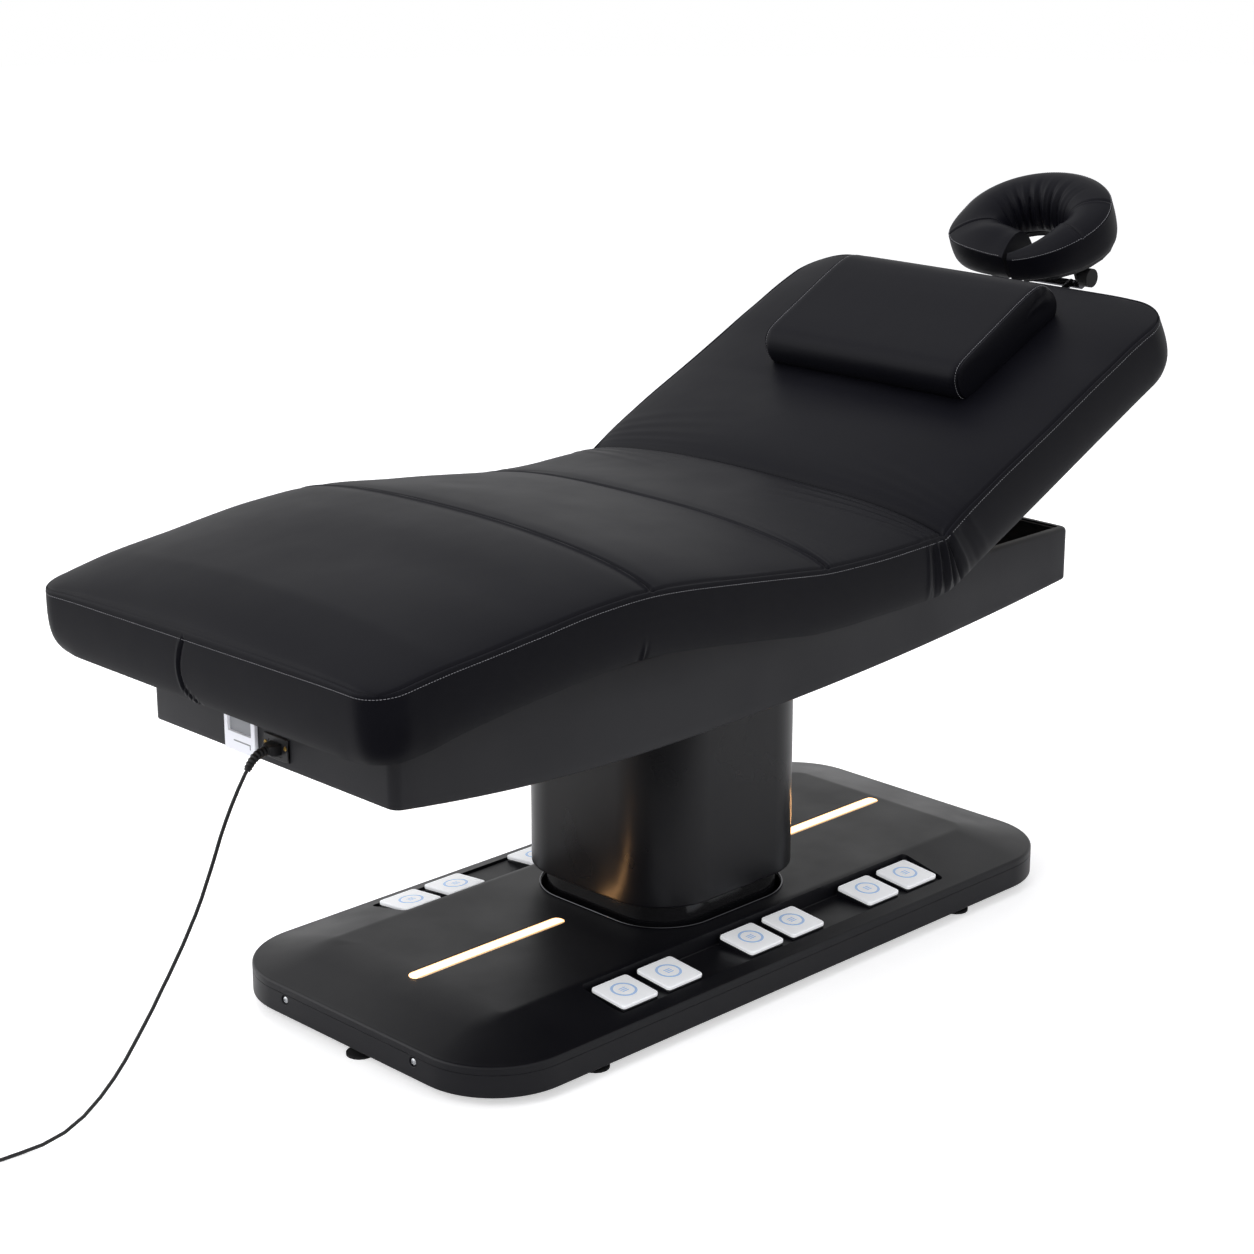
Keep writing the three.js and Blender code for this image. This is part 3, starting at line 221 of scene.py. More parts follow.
def tube(path, radii, sides=12):
    """Circles of the given radii round each point of a path, square to it: point + radius *
    (cos * side + sin * rise), with side = tangent x Z and rise = side x tangent."""
    path = np.asarray(path, float)
    tangent = unit(np.gradient(path, axis=0))
    side = unit(np.cross(tangent, (0, 0, 1)))
    rise = np.cross(side, tangent)
    turn = np.arange(sides) / sides * 2 * math.pi
    radii = np.broadcast_to(np.asarray(radii, float), len(path))[:, None, None]
    return path[:, None] + radii * (np.cos(turn)[None, :, None] * side[:, None]
                                    + np.sin(turn)[None, :, None] * rise[:, None])


print("a test loop has", len(rounded_rectangle(2, 1, 0.5, 6)), "points")

# %% [markdown]
# ## The mains lead
# A round PVC lead, 5.7 mm thick, leaves the ribbed boot of its connector, hangs to the floor under its
# own weight and runs off to the left. The length that a camera never shows lies in a neat coil of two
# layers just outside the view. It could be a curve object; a mesh tube along whole arrays of points is
# used here, because the run has to stretch between the lifting body and the floor.

# %% Route of the lead
LEAD, INLET_Y, INLET_Z = 5.7, -24, 542
hang = np.array([
    [-862.2, -24, 520.8], [-865.8, -23.9, 516.4], [-876, -20.5, 496], [-887, -17, 472], [-896, -13.5, 449],
    [-904, -10.5, 427], [-911, -8, 405], [-918, -5, 383], [-926, -2.5, 361], [-934, 0, 339],
    [-943, 3, 317], [-953, 6.5, 295], [-963, 10, 273], [-974, 14, 251], [-985, 18, 229],
    [-997, 22, 207], [-1009, 26, 184], [-1022, 30.5, 161], [-1036, 36, 136], [-1051, 41, 111],
    [-1068, 47, 86], [-1088, 54, 61], [-1112, 62, 37], [-1140, 71, 18], [-1172, 80, 7],
    [-1206, 87, 3.4], [-1240, 90, 3.1], [-1290, 90, 3], [-1340, 90, 3]])
turn = np.linspace(0, 6, 6 * 28 + 1)
radius = 40.45 - 6.3 * (3 - np.abs(turn - 3))
angle = math.pi / 2 + turn * 2 * math.pi
coil = np.stack([-1346.3 + radius * np.cos(angle), 49.55 + radius * np.sin(angle),
                 3 + 6.3 * np.clip((turn - 3) * 2 + 0.5, 0, 1)], axis=1)
tail = coil[-1] + np.array([[-12, 0, 0], [-24, 0, 0], [-36, 0, 0], [-48, 0, 0]])
lead_path = metres(np.concatenate([hang, coil, tail]))

# %% Lead, boot and plug
lead = loft("mains_lead", tube(lead_path, LEAD / 2000, 10), "black_plastic", sharp=50)
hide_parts("cord_run", "cord_coil")
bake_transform(lead)

boot_line = np.array([[-827.0, -24, 542], [-834, -24, 541.6], [-841, -24, 540], [-848, -24, 536.4],
                      [-854, -24, 531.6], [-858.6, -24, 526], [-862.4, -24, 520.6]])
share = np.linspace(0, 1, 57)
boot_path = sampled(share, np.linspace(0, 1, len(boot_line)), boot_line)
ribs = 0.5 + 0.5 * np.cos(share * 8 * 2 * math.pi)
boot_radius = (8.2 - 2.4 * share) * (0.84 + 0.16 * ribs ** 0.6)
boot_radius[-5:] = 5.0
boot = tube(metres(boot_path), boot_radius / 1000, 20)
body_loop = rounded_rectangle(12.5, 8.5, 2.5, 5)
grip_rows = ((-806.6, 0.96), (-808, 1.0), (-820, 1.0), (-825, 0.86), (-827.4, 0.6))
grip = [np.column_stack([np.full(len(body_loop), x), body_loop * g + (INLET_Y, INLET_Z)])
        for x, g in grip_rows]
connector = loft("lead_connector", metres(grip), "black_plastic", "lift")
boot_piece = loft("lead_boot", boot, "black_plastic", "lift", sharp=60)
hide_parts("cord_connector")

plug_loop = rounded_rectangle(19, 12, 6, 6)
plug_rows = [(0, 0.5), (2, 0.62), (8, 0.72), (15, 0.96), (20, 1), (32, 1), (34, 0.95)]
plug_loops = [np.column_stack([np.full(len(plug_loop), -1394.6 - x), plug_loop * g + (90, 12)])
              for x, g in plug_rows]
plug = loft("lead_plug", metres(plug_loops), "black_plastic", "base")
for side in (-1, 1):
    along = np.array([0, 9, 15.5, 17.0])
    line = np.stack([-1428.6 - along, np.full(4, 90 + side * 9.5), np.full(4, 12.0)], axis=1)
    loft(f"plug_pin_{'left' if side < 0 else 'right'}",
                     tube(metres(line), np.array([2.2, 2.2, 2.1, 1.0]) / 1000, 12), "bright_steel", "base")
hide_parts("cord_plug")
print("lead pieces", lead.name, plug.name, connector.name)

# %% [markdown]
# ## Studio: floor, world and lamps
# The bed stands on a seamless white floor. The camera sees plain white all round, through Light Path
# rays in the world, and glossy surfaces see a room that is brightest towards a panel beyond the foot
# end on the far side, while the diffuse light stays at an even, plain level. The floor adds white only
# for camera rays, and only in part, so that the soft shadow under the base stays.
# In reflections the floor ends in the dark near the camera, as a paper sweep does: that draws the dark
# stripe down the corner of the column.


# %% One way to add a node
def add(tree, kind, links=None, **settings):
    """Adds a node, sets its properties and sockets, and links sockets. A setting whose name is a
    socket's (spaces written as _) sets the socket; links maps a socket to another node's output."""
    made = tree.nodes.new(kind)
    sockets = {s.name.replace(" ", "_"): s for s in reversed(made.inputs)}
    for name, value in settings.items():
        if name in sockets:
            sockets[name].default_value = value
        else:
            setattr(made, name, value)
    for name, output in (links or {}).items():
        tree.links.new(output, made.inputs[name])
    return made


def linear(colour):
    """sRGB hex to linear RGBA: c / 12.92 below 0.04045, else ((c + 0.055) / 1.055) ** 2.4."""
    c = np.array([int(colour[k:k + 2], 16) for k in (1, 3, 5)]) / 255
    return (*np.where(c <= 0.04045, c / 12.92, ((c + 0.055) / 1.055) ** 2.4), 1.0)


def blank(name):
    """A material whose node tree is empty, and that tree."""
    made = bpy.data.materials.new(name)
    made.use_nodes = True
    made.node_tree.nodes.clear()
    return made, made.node_tree


def found(tree, kind):
    """The tree's first node of that type."""
    return next(n for n in tree.nodes if n.type == kind)


world = bpy.data.worlds.new("studio")
bpy.context.scene.world = world
world.use_nodes = True
tree = world.node_tree
tree.nodes.clear()
path = add(tree, "ShaderNodeLightPath")
seen = add(tree, "ShaderNodeMath", {0: path.outputs["Is Camera Ray"], 1: path.outputs["Is Glossy Ray"]},
           operation="MAXIMUM")
seen = add(tree, "ShaderNodeMath", {0: seen.outputs[0], 1: path.outputs["Is Transmission Ray"]},
           operation="MAXIMUM")
plain = add(tree, "ShaderNodeBackground", Color=(0.97, 0.97, 1.0, 1), Strength=0.6)
ray_way = add(tree, "ShaderNodeTexCoord")
panel_way = add(tree, "ShaderNodeVectorMath", {0: ray_way.outputs["Generated"]}, operation="DOT_PRODUCT")
panel_way.inputs[1].default_value = (-0.66, 0.68, 0.32)
panel_glow = add(tree, "ShaderNodeMapRange", {"Value": panel_way.outputs["Value"]},
                 interpolation_type="SMOOTHSTEP", From_Min=0.6, From_Max=0.98, To_Min=0.8, To_Max=2.2)
strength = add(tree, "ShaderNodeMix", {"Factor": path.outputs["Is Glossy Ray"], "B": panel_glow.outputs[0]},
               data_type="FLOAT", A=1.0)
white = add(tree, "ShaderNodeBackground", {"Strength": strength.outputs[0]}, Color=(1, 1, 1, 1))
mixed = add(tree, "ShaderNodeMixShader", {0: seen.outputs[0], 1: plain.outputs[0], 2: white.outputs[0]})
add(tree, "ShaderNodeOutputWorld", {"Surface": mixed.outputs[0]})
print("world nodes", len(tree.nodes))

# %% Floor
around = np.linspace(0, 2 * math.pi, 97)[:-1]
rings = np.array([0.02, 1, 2, 4, 8, 14])
disc = np.stack([np.outer(rings, np.cos(around)), np.outer(rings, np.sin(around)),
                 np.zeros((len(rings), 96))], axis=-1)
floor = piece("studio_floor", disc, quads(len(rings), 96, around=True).tolist() + [list(range(96))],
              "base_shell")
if floor.data.polygons[0].normal.z < 0:
    floor.data.flip_normals()
floor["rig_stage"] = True
paint, tree = blank("matt_white_floor")
path = add(tree, "ShaderNodeLightPath")
place = add(tree, "ShaderNodeTexCoord")
speck = add(tree, "ShaderNodeTexNoise", {"Vector": place.outputs["Object"]}, Scale=30.0, Detail=2.0)
tone = add(tree, "ShaderNodeMix", {"Factor": speck.outputs["Fac"]}, data_type="RGBA")
tone.inputs[6].default_value, tone.inputs[7].default_value = (0.86, 0.86, 0.87, 1), (0.9, 0.9, 0.9, 1)
matt = add(tree, "ShaderNodeBsdfDiffuse", {"Color": tone.outputs[2]})
part = add(tree, "ShaderNodeMath", {0: path.outputs["Is Camera Ray"]}, operation="MULTIPLY")
part.inputs[1].default_value = 0.5
glow = add(tree, "ShaderNodeEmission", {"Strength": part.outputs[0]}, Color=(1, 1, 1, 1))
both = add(tree, "ShaderNodeAddShader", {0: matt.outputs[0], 1: glow.outputs[0]})
toward = add(tree, "ShaderNodeVectorMath", {0: place.outputs["Object"]}, operation="DOT_PRODUCT")
toward.inputs[1].default_value = (-0.7, -0.7, 0)
ahead = add(tree, "ShaderNodeMapRange", {"Value": toward.outputs["Value"]}, interpolation_type="SMOOTHSTEP",
            From_Min=0.75, From_Max=1.3, To_Min=0.0, To_Max=0.92)
shut = add(tree, "ShaderNodeMath", {0: ahead.outputs[0], 1: path.outputs["Is Glossy Ray"]},
           operation="MULTIPLY")
dark = add(tree, "ShaderNodeBsdfDiffuse", Color=(0.02, 0.02, 0.02, 1))
ended = add(tree, "ShaderNodeMixShader", {0: shut.outputs[0], 1: both.outputs[0], 2: dark.outputs[0]})
add(tree, "ShaderNodeOutputMaterial", {"Surface": ended.outputs[0]})
floor.data.materials.append(paint)
print("floor radius", rings[-1], "m")

# %% Lamps
lamps = {  # name: place, size in metres, power in watts
    "key_from_foot_end": ((-4.2, -1.2, 2.9), 2.4, 95),
    "fill_from_front": ((-0.6, -4.6, 2.4), 3.0, 40),
    "top_sheet": ((0.4, 1.0, 4.2), 3.2, 130),
}
for name, (place, size, power) in lamps.items():
    light = bpy.data.lights.new(name, "AREA")
    light.energy, light.size = power, size
    lamp = bpy.data.objects.new(name, light)
    bpy.context.collection.objects.link(lamp)
    lamp.location = place
    aim = np.array([0, 0, 0.6]) - place
    lamp.rotation_euler = (math.atan2(math.hypot(aim[0], aim[1]), -aim[2]), 0,
                           math.atan2(aim[1], aim[0]) - math.pi / 2)
    lamp.visible_glossy = False
print("lamps", len(lamps))

# %% [markdown]
# ## Finishes
# Each finish is a Principled surface whose colour, roughness and bump vary a little, as moulded, cast
# or coated surfaces do. Patterns read Object coordinates, in metres, so a grain of g millimetres has a
# noise scale of 1000 / g. Grains finer than the camera shows are drawn coarser, at about 2 mm.


# %% The common recipe
def finish(name, slot, tones, roughness, grain_mm, height_mm, patch_mm=120, spread=0.06, metallic=0.0,
           specular=0.5, stretch=(1, 1, 1)):
    """Two near colours mixed by soft patches, roughness that wanders by the same patches, and a bump
    of noise grains, stretched where the surface was drawn or brushed."""
    made, tree = blank(name)
    place = add(tree, "ShaderNodeTexCoord")
    turned = add(tree, "ShaderNodeMapping", {"Vector": place.outputs["Object"]}, Scale=stretch)
    patch = add(tree, "ShaderNodeTexNoise", {"Vector": turned.outputs[0]}, Scale=1000 / patch_mm, Detail=3.0)
    tone = add(tree, "ShaderNodeMix", {"Factor": patch.outputs["Fac"]}, data_type="RGBA")
    tone.inputs[6].default_value, tone.inputs[7].default_value = [linear(t) for t in tones]
    rough = add(tree, "ShaderNodeMapRange", {"Value": patch.outputs["Fac"]}, From_Min=0.3, From_Max=0.7,
                To_Min=max(roughness - spread, 0.02), To_Max=min(roughness + spread, 1.0))
    grain = add(tree, "ShaderNodeTexNoise", {"Vector": turned.outputs[0]}, Scale=1000 / grain_mm, Detail=2.0,
                Roughness=0.6)
    bump = add(tree, "ShaderNodeBump", {"Height": grain.outputs["Fac"]}, Strength=1.0,
               Distance=height_mm / 1000)
    skin = add(tree, "ShaderNodeBsdfPrincipled", {"Base Color": tone.outputs[2],
               "Roughness": rough.outputs[0], "Normal": bump.outputs[0]}, Metallic=metallic,
               Specular_IOR_Level=specular)
    add(tree, "ShaderNodeOutputMaterial", {"Surface": skin.outputs[0]})
    finishes[slot] = made
    return made


finishes = {}

# %% [markdown]
# **Plastics, paints and metals.** Moulded ABS has a fine spark texture that makes it look grey at a
# low angle. Powder coat has a soft orange peel. Polished metals reflect the studio, and the trim is
# plated in black chrome.

# %% Rigid finishes
finish("moulded_abs_spark_texture", "base_shell", ("#0e0e12", "#121216"), 0.38, 1.8, 0.05, specular=0.26)
finish("satin_black_powder_coat", "column_satin", ("#0c0c0f", "#101013"), 0.3, 2.5, 0.012, specular=0.25)
finish("gloss_black_lacquer", "column_gloss", ("#0d0d0f", "#101012"), 0.14, 4.0, 0.006, specular=0.5)
finish("graphite_powder_coat", "tray_paint", ("#1d1d20", "#222225"), 0.5, 2.2, 0.02, specular=0.25)
finish("dark_painted_steel", "dark_steel", ("#1c1c1f", "#232326"), 0.45, 2.0, 0.03)
brass = finish("brass_plate", "bright_steel", ("#a98a4a", "#b89a58"), 0.3, 2.0, 0.01, metallic=1.0)
finish("ground_steel_rod", "bright_steel", ("#b5b7ba", "#c4c6c9"), 0.25, 2.0, 0.01, metallic=1.0)
finish("black_chrome_plate", "trim_chrome", ("#4c4c50", "#58585c"), 0.16, 6.0, 0.004, metallic=1.0,
       spread=0.04)
finish("die_cast_aluminium", "motor_aluminium", ("#8d8f92", "#9a9c9f"), 0.45, 2.0, 0.05, metallic=1.0)
finish("grey_nylon", "actuator_plastic", ("#84868a", "#8e9094"), 0.5, 2.0, 0.04)
finish("birch_plywood", "plywood", ("#8a6a45", "#a98558"), 0.7, 2.0, 0.05, patch_mm=30,
       stretch=(0.15, 1, 1))
finish("white_asa_moulding", "pedal_plastic", ("#f0f2f4", "#f5f6f8"), 0.38, 1.8, 0.012)
finish("white_gloss_moulding", "panel_plastic", ("#eef0f8", "#f3f4fa"), 0.25, 3.0, 0.006)
finish("black_rubber", "foot_rubber", ("#111112", "#171718"), 0.7, 1.8, 0.06, specular=0.3)
finish("black_pvc", "black_plastic", ("#131315", "#19191b"), 0.42, 1.8, 0.03, specular=0.4)
print("finishes", len(finishes))

# %% [markdown]
# **Leatherette.** PVC-coated upholstery cloth: near-black, softly glossy, with a pebbled emboss. Real
# pebbles are about 1 mm, too fine for the camera, so they are drawn at 2.4 mm. A slow noise adds the
# slack of the sheet over its foam, which breaks the reflection of the white room.

# %% Leatherette
leather = finish("black_leatherette", "upholstery", ("#09090e", "#0d0d12"), 0.44, 2.4, 0.04, patch_mm=90,
                 spread=0.02, specular=0.09)
tree = leather.node_tree
skin, bump, place = (found(tree, kind) for kind in ("BSDF_PRINCIPLED", "BUMP", "TEX_COORD"))
slack = add(tree, "ShaderNodeTexNoise", {"Vector": place.outputs["Object"]}, Scale=11.0, Detail=1.5)
billow = add(tree, "ShaderNodeBump", {"Height": slack.outputs["Fac"], "Normal": bump.outputs[0]},
             Strength=1.0, Distance=0.0006)
tree.links.new(billow.outputs[0], skin.inputs["Normal"])
thread = finish("grey_polyester_thread", "upholstery", ("#6f6f73", "#808084"), 0.6, 1.0, 0.05)
finishes["upholstery"] = leather
print("leatherette nodes", len(tree.nodes))

# %% [markdown]
# **Light strip.** A diffuser over warm LEDs. Light falls off from its middle line, so one amber colour
# burns out to white in the core and stays amber at the edges, as a camera sees it. Camera rays see no
# more than 5, so that the strip's edge stays smooth.

# %% Light strip lens
lens, tree = blank("lit_opal_diffuser")
place = add(tree, "ShaderNodeTexCoord")
parts = add(tree, "ShaderNodeSeparateXYZ", {"Vector": place.outputs["Object"]})
across = add(tree, "ShaderNodeMath", {0: parts.outputs["Y"]}, operation="ABSOLUTE")
fall = add(tree, "ShaderNodeMapRange", {"Value": across.outputs[0]}, interpolation_type="SMOOTHSTEP",
           From_Min=0.004, From_Max=0.0108, To_Min=26.0, To_Max=0.6)
path = add(tree, "ShaderNodeLightPath")
limit = add(tree, "ShaderNodeMapRange", {"Value": path.outputs["Is Camera Ray"]}, To_Min=100.0, To_Max=5.0)
shown = add(tree, "ShaderNodeMath", {0: fall.outputs[0], 1: limit.outputs[0]}, operation="MINIMUM")
skin = add(tree, "ShaderNodeBsdfPrincipled", {"Emission Strength": shown.outputs[0]},
           Base_Color=linear("#d8c8b0"), Roughness=0.4, Emission_Color=(1.0, 0.52, 0.2, 1))
add(tree, "ShaderNodeOutputMaterial", {"Surface": skin.outputs[0]})
finishes["light_lens"] = lens
print("lens nodes", len(tree.nodes))

# %% [markdown]
# ## Finishes on the carried-over parts
# Every node of the imported record names its slot, so one pass gives each CAD part its finish. The
# rails under the pedals are dressed dark, like the shell, as painted shade: they lie in the shade of the
# pedals, where the channel's floor looks black.

# %% Dress the CAD parts
slots = {s["node"]: s["material_slot"] for s in frame["record"]["subparts"]}
for name, node in frame["nodes"].items():
    node.data.materials.clear()
    # painted shade: the pedal rails take the dark shell finish, for the shade in the channel under the pedals
    node.data.materials.append(finishes["base_shell" if "pedal_rail" in name else slots[name]])
print("dressed", len(frame["nodes"]), "CAD parts")

# %% [markdown]
# ## The mattress
# One upholstered pad, 800 mm wide, folds at the back, hip and knee. Its side view is known from the
# photograph as two curves: the stitched top edge and the bottom edge. Everything else follows from
# them: the crowned top is a grid between the stitch lines, the corners come from squeezing a square
# onto a circle, and the side wall runs from the stitch to the tucked-in bottom edge.

# %% Side view of the mattress
WIDE, FOOT_CORNER, HEAD_CORNER, FOLD_X = 400.0, 54.0, 76.0, 228.0
stitch_points = np.array([
    (-929, 725.5), (-872, 732.5), (-820, 738.5), (-729, 747.5), (-635, 758), (-555, 767), (-472, 770.5),
    (-421, 770.5), (-346, 764), (-184, 744), (-48, 726), (76, 722), (167, 724), (228, 726),
    (288, 761), (372, 803), (488, 855.5), (564, 891.5), (607, 912.5), (657, 934.8), (706, 958.5), (742, 975),
    (821, 1012)])
bottom_points = np.array([
    (-935, 624), (-885, 630), (-835, 639), (-788, 648), (-716, 657), (-637, 664.5), (-555, 671),
    (-472, 675.5), (-417, 675.5), (-368, 671), (-264, 658), (-165, 644), (-79, 631), (-10, 628),
    (80, 628), (153, 628), (209, 629), (250, 633), (280, 647), (360, 687), (457, 732), (624, 812),
    (675, 836), (719, 857), (773, 882), (866, 925)])
lean_points = np.array([(-927, 8.3), (-500, 8.3), (-440, -2), (-380, -12), (-110, -12), (-20, 0),
                        (150, 0), (228, 21), (300, 40), (821, 42)])
grid_x = np.arange(-929, 821.5, 0.5)


def softened(values, width, step=0.5):
    """Weighted mean with a bell curve of the given width, ends continued in a straight line."""
    reach = int(4 * width / step)
    bell = np.exp(-0.5 * (np.arange(-reach, reach + 1) * step / width) ** 2)
    ends = np.arange(1, reach + 1)
    before = values[0] - (values[1] - values[0]) * ends[::-1]
    after = values[-1] + (values[-1] - values[-2]) * ends
    return np.convolve(np.concatenate([before, values, after]), bell / bell.sum(), "valid")


fold_at = int(np.searchsorted(grid_x, FOLD_X))
raw = np.interp(grid_x, *stitch_points.T)
edge_z = np.concatenate([softened(raw[:fold_at], 22), softened(raw[fold_at:], 14)])
edge_z[fold_at - 60:fold_at + 60] = softened(edge_z, 3)[fold_at - 60:fold_at + 60]
wide_x = np.arange(-960, 900, 0.5)
bottom_z = softened(np.interp(wide_x, *bottom_points.T), 14)
low_x = grid_x + softened(np.interp(grid_x, *lean_points.T), 16)
low_z = np.interp(low_x, wide_x, bottom_z)
length = np.concatenate([[0], np.cumsum(np.hypot(np.diff(grid_x), np.diff(edge_z)))])
slope = softened(np.gradient(edge_z, grid_x), 20)
tilt = np.arctan(slope)
TOTAL = length[-1]
at_x = lambda x: float(np.interp(x, grid_x, length))
print("mattress", round(TOTAL), "mm along its stitched edge")

# %% [markdown]
# ### Seams, folds and wrinkles
# Small relief is a sum of bell-shaped ridges on top of the crown. Two cross seams lie over the knee
# and the hip, each a groove with a raised lip. The back fold is a crease, with creases fanning out of
# its ends where the sheet is pressed together, and a few slow waves keep the sheet from being flat.


# %% Relief of the top
def bell(distance, width):
    """exp(-(distance / width)^2)."""
    return np.exp(-(distance / width) ** 2)


def top_relief(along, across):
    """Height in mm above the stitch plane: crown * (1 - across_share^2.3)^0.65 * sqrt(1 - end_share^6),
    minus grooves at the seams and the border, minus the fold's crease, plus ridges and slow waves. The
    crown is 36 mm at the foot end, 50 to 46 mm from the legs to the fold, and 18 mm at the head."""
    share_y = np.clip(np.abs(across) / WIDE, 0, 1)
    to_end = np.minimum(along, TOTAL - along)
    share_x = np.clip(1 - to_end / WIDE, 0, 1)
    crown = np.interp(along, (0, 120, at_x(FOLD_X), at_x(FOLD_X) + 260, TOTAL), (36, 50, 46, 22, 18))
    rise = crown * (1 - share_y ** 2.3) ** 0.65 * np.sqrt(1 - share_x ** 6)
    border = np.minimum(WIDE - np.abs(across), to_end)
    inside = np.clip(border / 14, 0, 1)
    rise -= 2.4 * bell(border - 5.5, 2.0) * np.clip(border / 3, 0, 1)
    for seam in SEAMS:
        bow = seam + 6 * (across / WIDE) ** 2
        rise -= inside * (6.4 * bell(along - bow, 3.6) + 2.6 * bell(along - bow, 18))
        rise += inside * 3.0 * bell(along - bow + 7, 3.0)
    fold = at_x(FOLD_X)
    rise -= inside * (9.0 * np.exp(-np.abs(along - fold) / 7) + 4.0 * bell(along - fold, 34))
    near_edge = np.clip((WIDE - np.abs(across)) / 300, 0, 1)
    for reach, height, wide in ((13, 3.4, 4.2), (27, 3.0, 4.6), (46, 2.6, 5.2), (70, 2.1, 6), (98, 1.6, 7)):
        line = fold - reach * (0.45 + 0.75 * near_edge ** 0.7)
        rise += inside * height * bell(along - line, wide) * (1 - near_edge) ** 0.8
        line = fold + reach * 1.25 * (0.5 + 0.7 * near_edge ** 0.7)
        rise += inside * 0.5 * height * bell(along - line, wide * 1.6) * (1 - near_edge) ** 1.2
    hip = SEAMS[1]
    for reach, height in ((16, 2.4), (30, 2.0), (47, 1.5), (68, 1.0)):
        line = hip + reach * (0.6 + 0.8 * near_edge) + 20 * near_edge
        rise += inside * height * bell(along - line, 4.5) * (1 - near_edge) ** 2.2
    waves = (np.sin(along / 47 + across / 90) + np.sin(along / 83 - across / 61 + 1.3)
             + 0.6 * np.sin(along / 29 + across / 210 + 0.4))
    return rise + 0.5 * waves * inside


SEAMS = (at_x(-426), at_x(-52))
print("seams at", [round(s) for s in SEAMS], "mm from the foot end")


# %% Points on and round the pad
def sag(along, across):
    """Drop of the stitched edge in mm: a twist of 0.0165 * across at the foot end, and corners that
    give way by 4 mm at the foot end and 12 mm at the head end."""
    corner = np.clip((np.abs(across) - 260) / 140, 0, 1) ** 2
    foot, head = [np.clip(1 - gap / 160, 0, 1) ** 2 for gap in (along, TOTAL - along)]
    return 0.0165 * across * np.clip(1 - along / 300, 0, 1) + corner * (4 * foot + 12 * head)


def lifted(along, across, up):
    """Stitch curve at that length + (up - sag) * (-sin, 0, cos) of its softened slope, in mm."""
    up = up - sag(along, across)
    x, z, t = (np.interp(along, length, v) for v in (grid_x, edge_z, tilt))
    return np.stack([x - up * np.sin(t), across, z + up * np.cos(t)], axis=-1)


def lowered(along, across, up=0.0):
    """Bottom curve below that length of the stitch curve, raised by up."""
    x, z, t = (np.interp(along, length, v) for v in (low_x, low_z, tilt))
    return np.stack([x - up * np.sin(t), across, z + up * np.cos(t)], axis=-1)


def rounded_plan(along, across, foot, head, corner):
    """Squeezes the square corners onto a circle: with p and q from 0 to 1 into the corner square,
    p' = p * sqrt(1 - q^2 / 2) and q' = q * sqrt(1 - p^2 / 2)."""
    q = np.clip((np.abs(across) - (WIDE - corner)) / corner, 0, 1)
    new_along, new_across = along.copy(), across.copy()
    for on, start, way in ((foot, corner, -1), (head, TOTAL - corner, 1)):
        p = np.clip((along - start) * way / corner, 0, 1) * on
        new_along = np.where(p > 0, start + way * corner * p * np.sqrt(1 - q ** 2 / 2), new_along)
        squeezed = np.sign(across) * (WIDE - corner + corner * q * np.sqrt(1 - p ** 2 / 2))
        new_across = np.where((p > 0) & (q > 0), squeezed, new_across)
    return new_along, new_across


def steps_between(start, stop, coarse, fine_places):
    """Grid lines from start to stop that stand 1.4 mm apart near each (place, reach) and coarse
    elsewhere: positions where the summed density 1 / spacing passes whole numbers."""
    s = np.linspace(start, stop, int((stop - start) * 4) + 1)
    near = np.min([np.abs(s - place) / reach for place, reach in fine_places], axis=0)
    density = 1 / np.where(near < 1, 1.4, np.minimum(coarse, 1.4 + (near - 1) * 3))
    total = np.concatenate([[0], np.cumsum((density[1:] + density[:-1]) / 2 * np.diff(s))])
    return np.interp(np.linspace(0, total[-1], int(total[-1]) + 1), total, s)


print("fold at", round(at_x(FOLD_X)), "mm")


# %% [markdown]
# ### Side wall
# The wall hangs from the stitch to the bottom edge, a little proud in its upper half and tucked in
# below. Where the pad folds at the back, the wall has too much sheet: it gathers in upright folds that
# fan out of the stitch. A short vertical seam bows across the foot end.


# %% Relief of the wall
def wall_relief(along, across, share):
    """Outward offset in mm at a share of the way down: 2.5 * sin(pi * share) - 4 * share^9, minus
    14 * share^6 at the corners, minus and plus bells along lines that fan out from the fold and fade
    towards the bottom edge, a small pinch at the knee, and a groove with a lip at the end seam."""
    near_end = np.clip(1 - np.minimum(along, TOTAL - along) / 90, 0, 1)
    corner = near_end * np.clip((np.abs(across) - 310) / 90, 0, 1)
    out = 2.5 * np.sin(math.pi * share) - 4 * share ** 9 - 14 * corner * share ** 6
    away = along - at_x(FOLD_X)
    on_side = np.abs(across) > WIDE - 2
    hold = np.clip(share * 6, 0, 1) * on_side
    fading = 0.95 * np.clip((1.04 - share) / 0.3, 0, 1)
    for start, stop, height, wide in ((2, 24, -7.5, 3.2), (-1, 8, -5.0, 2.6), (10, 40, 3.2, 4.5),
                                      (-6, -3, 4.0, 3.4), (-15, -12, -3.6, 2.6), (-24, -22, 3.4, 3.2),
                                      (-34, -33, -3.0, 3.0), (-44, -46, 1.8, 4.0), (30, 62, -1.8, 5.0),
                                      (52, 84, 1.6, 7.0)):
        line = start + (stop - start) * share ** 0.8
        out = out + hold * fading * height * bell(away - line, wide)
    pinch = (along - at_x(-441)) - 6 * (1 - share)
    ridge = 2.2 * bell(pinch, 3.5) - 1.4 * bell(pinch - 8, 4) - 1.0 * bell(pinch + 8, 5)
    out = out + on_side * np.clip((share - 0.72) / 0.2, 0, 1) * ridge
    at_foot = along < 3
    seam_y = np.interp(share, *END_SEAM)
    gap = across - seam_y
    return out - at_foot * np.clip(share * 12, 0, 1) * (4.4 * bell(gap, 1.9) - 1.6 * bell(gap - 5, 2.4))


END_SEAM = (np.array([0.0, 0.2, 0.45, 0.6, 0.8, 0.92, 1.0]), np.array([19.0, 29, 36.7, 37, 32.5, 19, 2]))
print("end seam bows to", END_SEAM[1].max(), "mm")


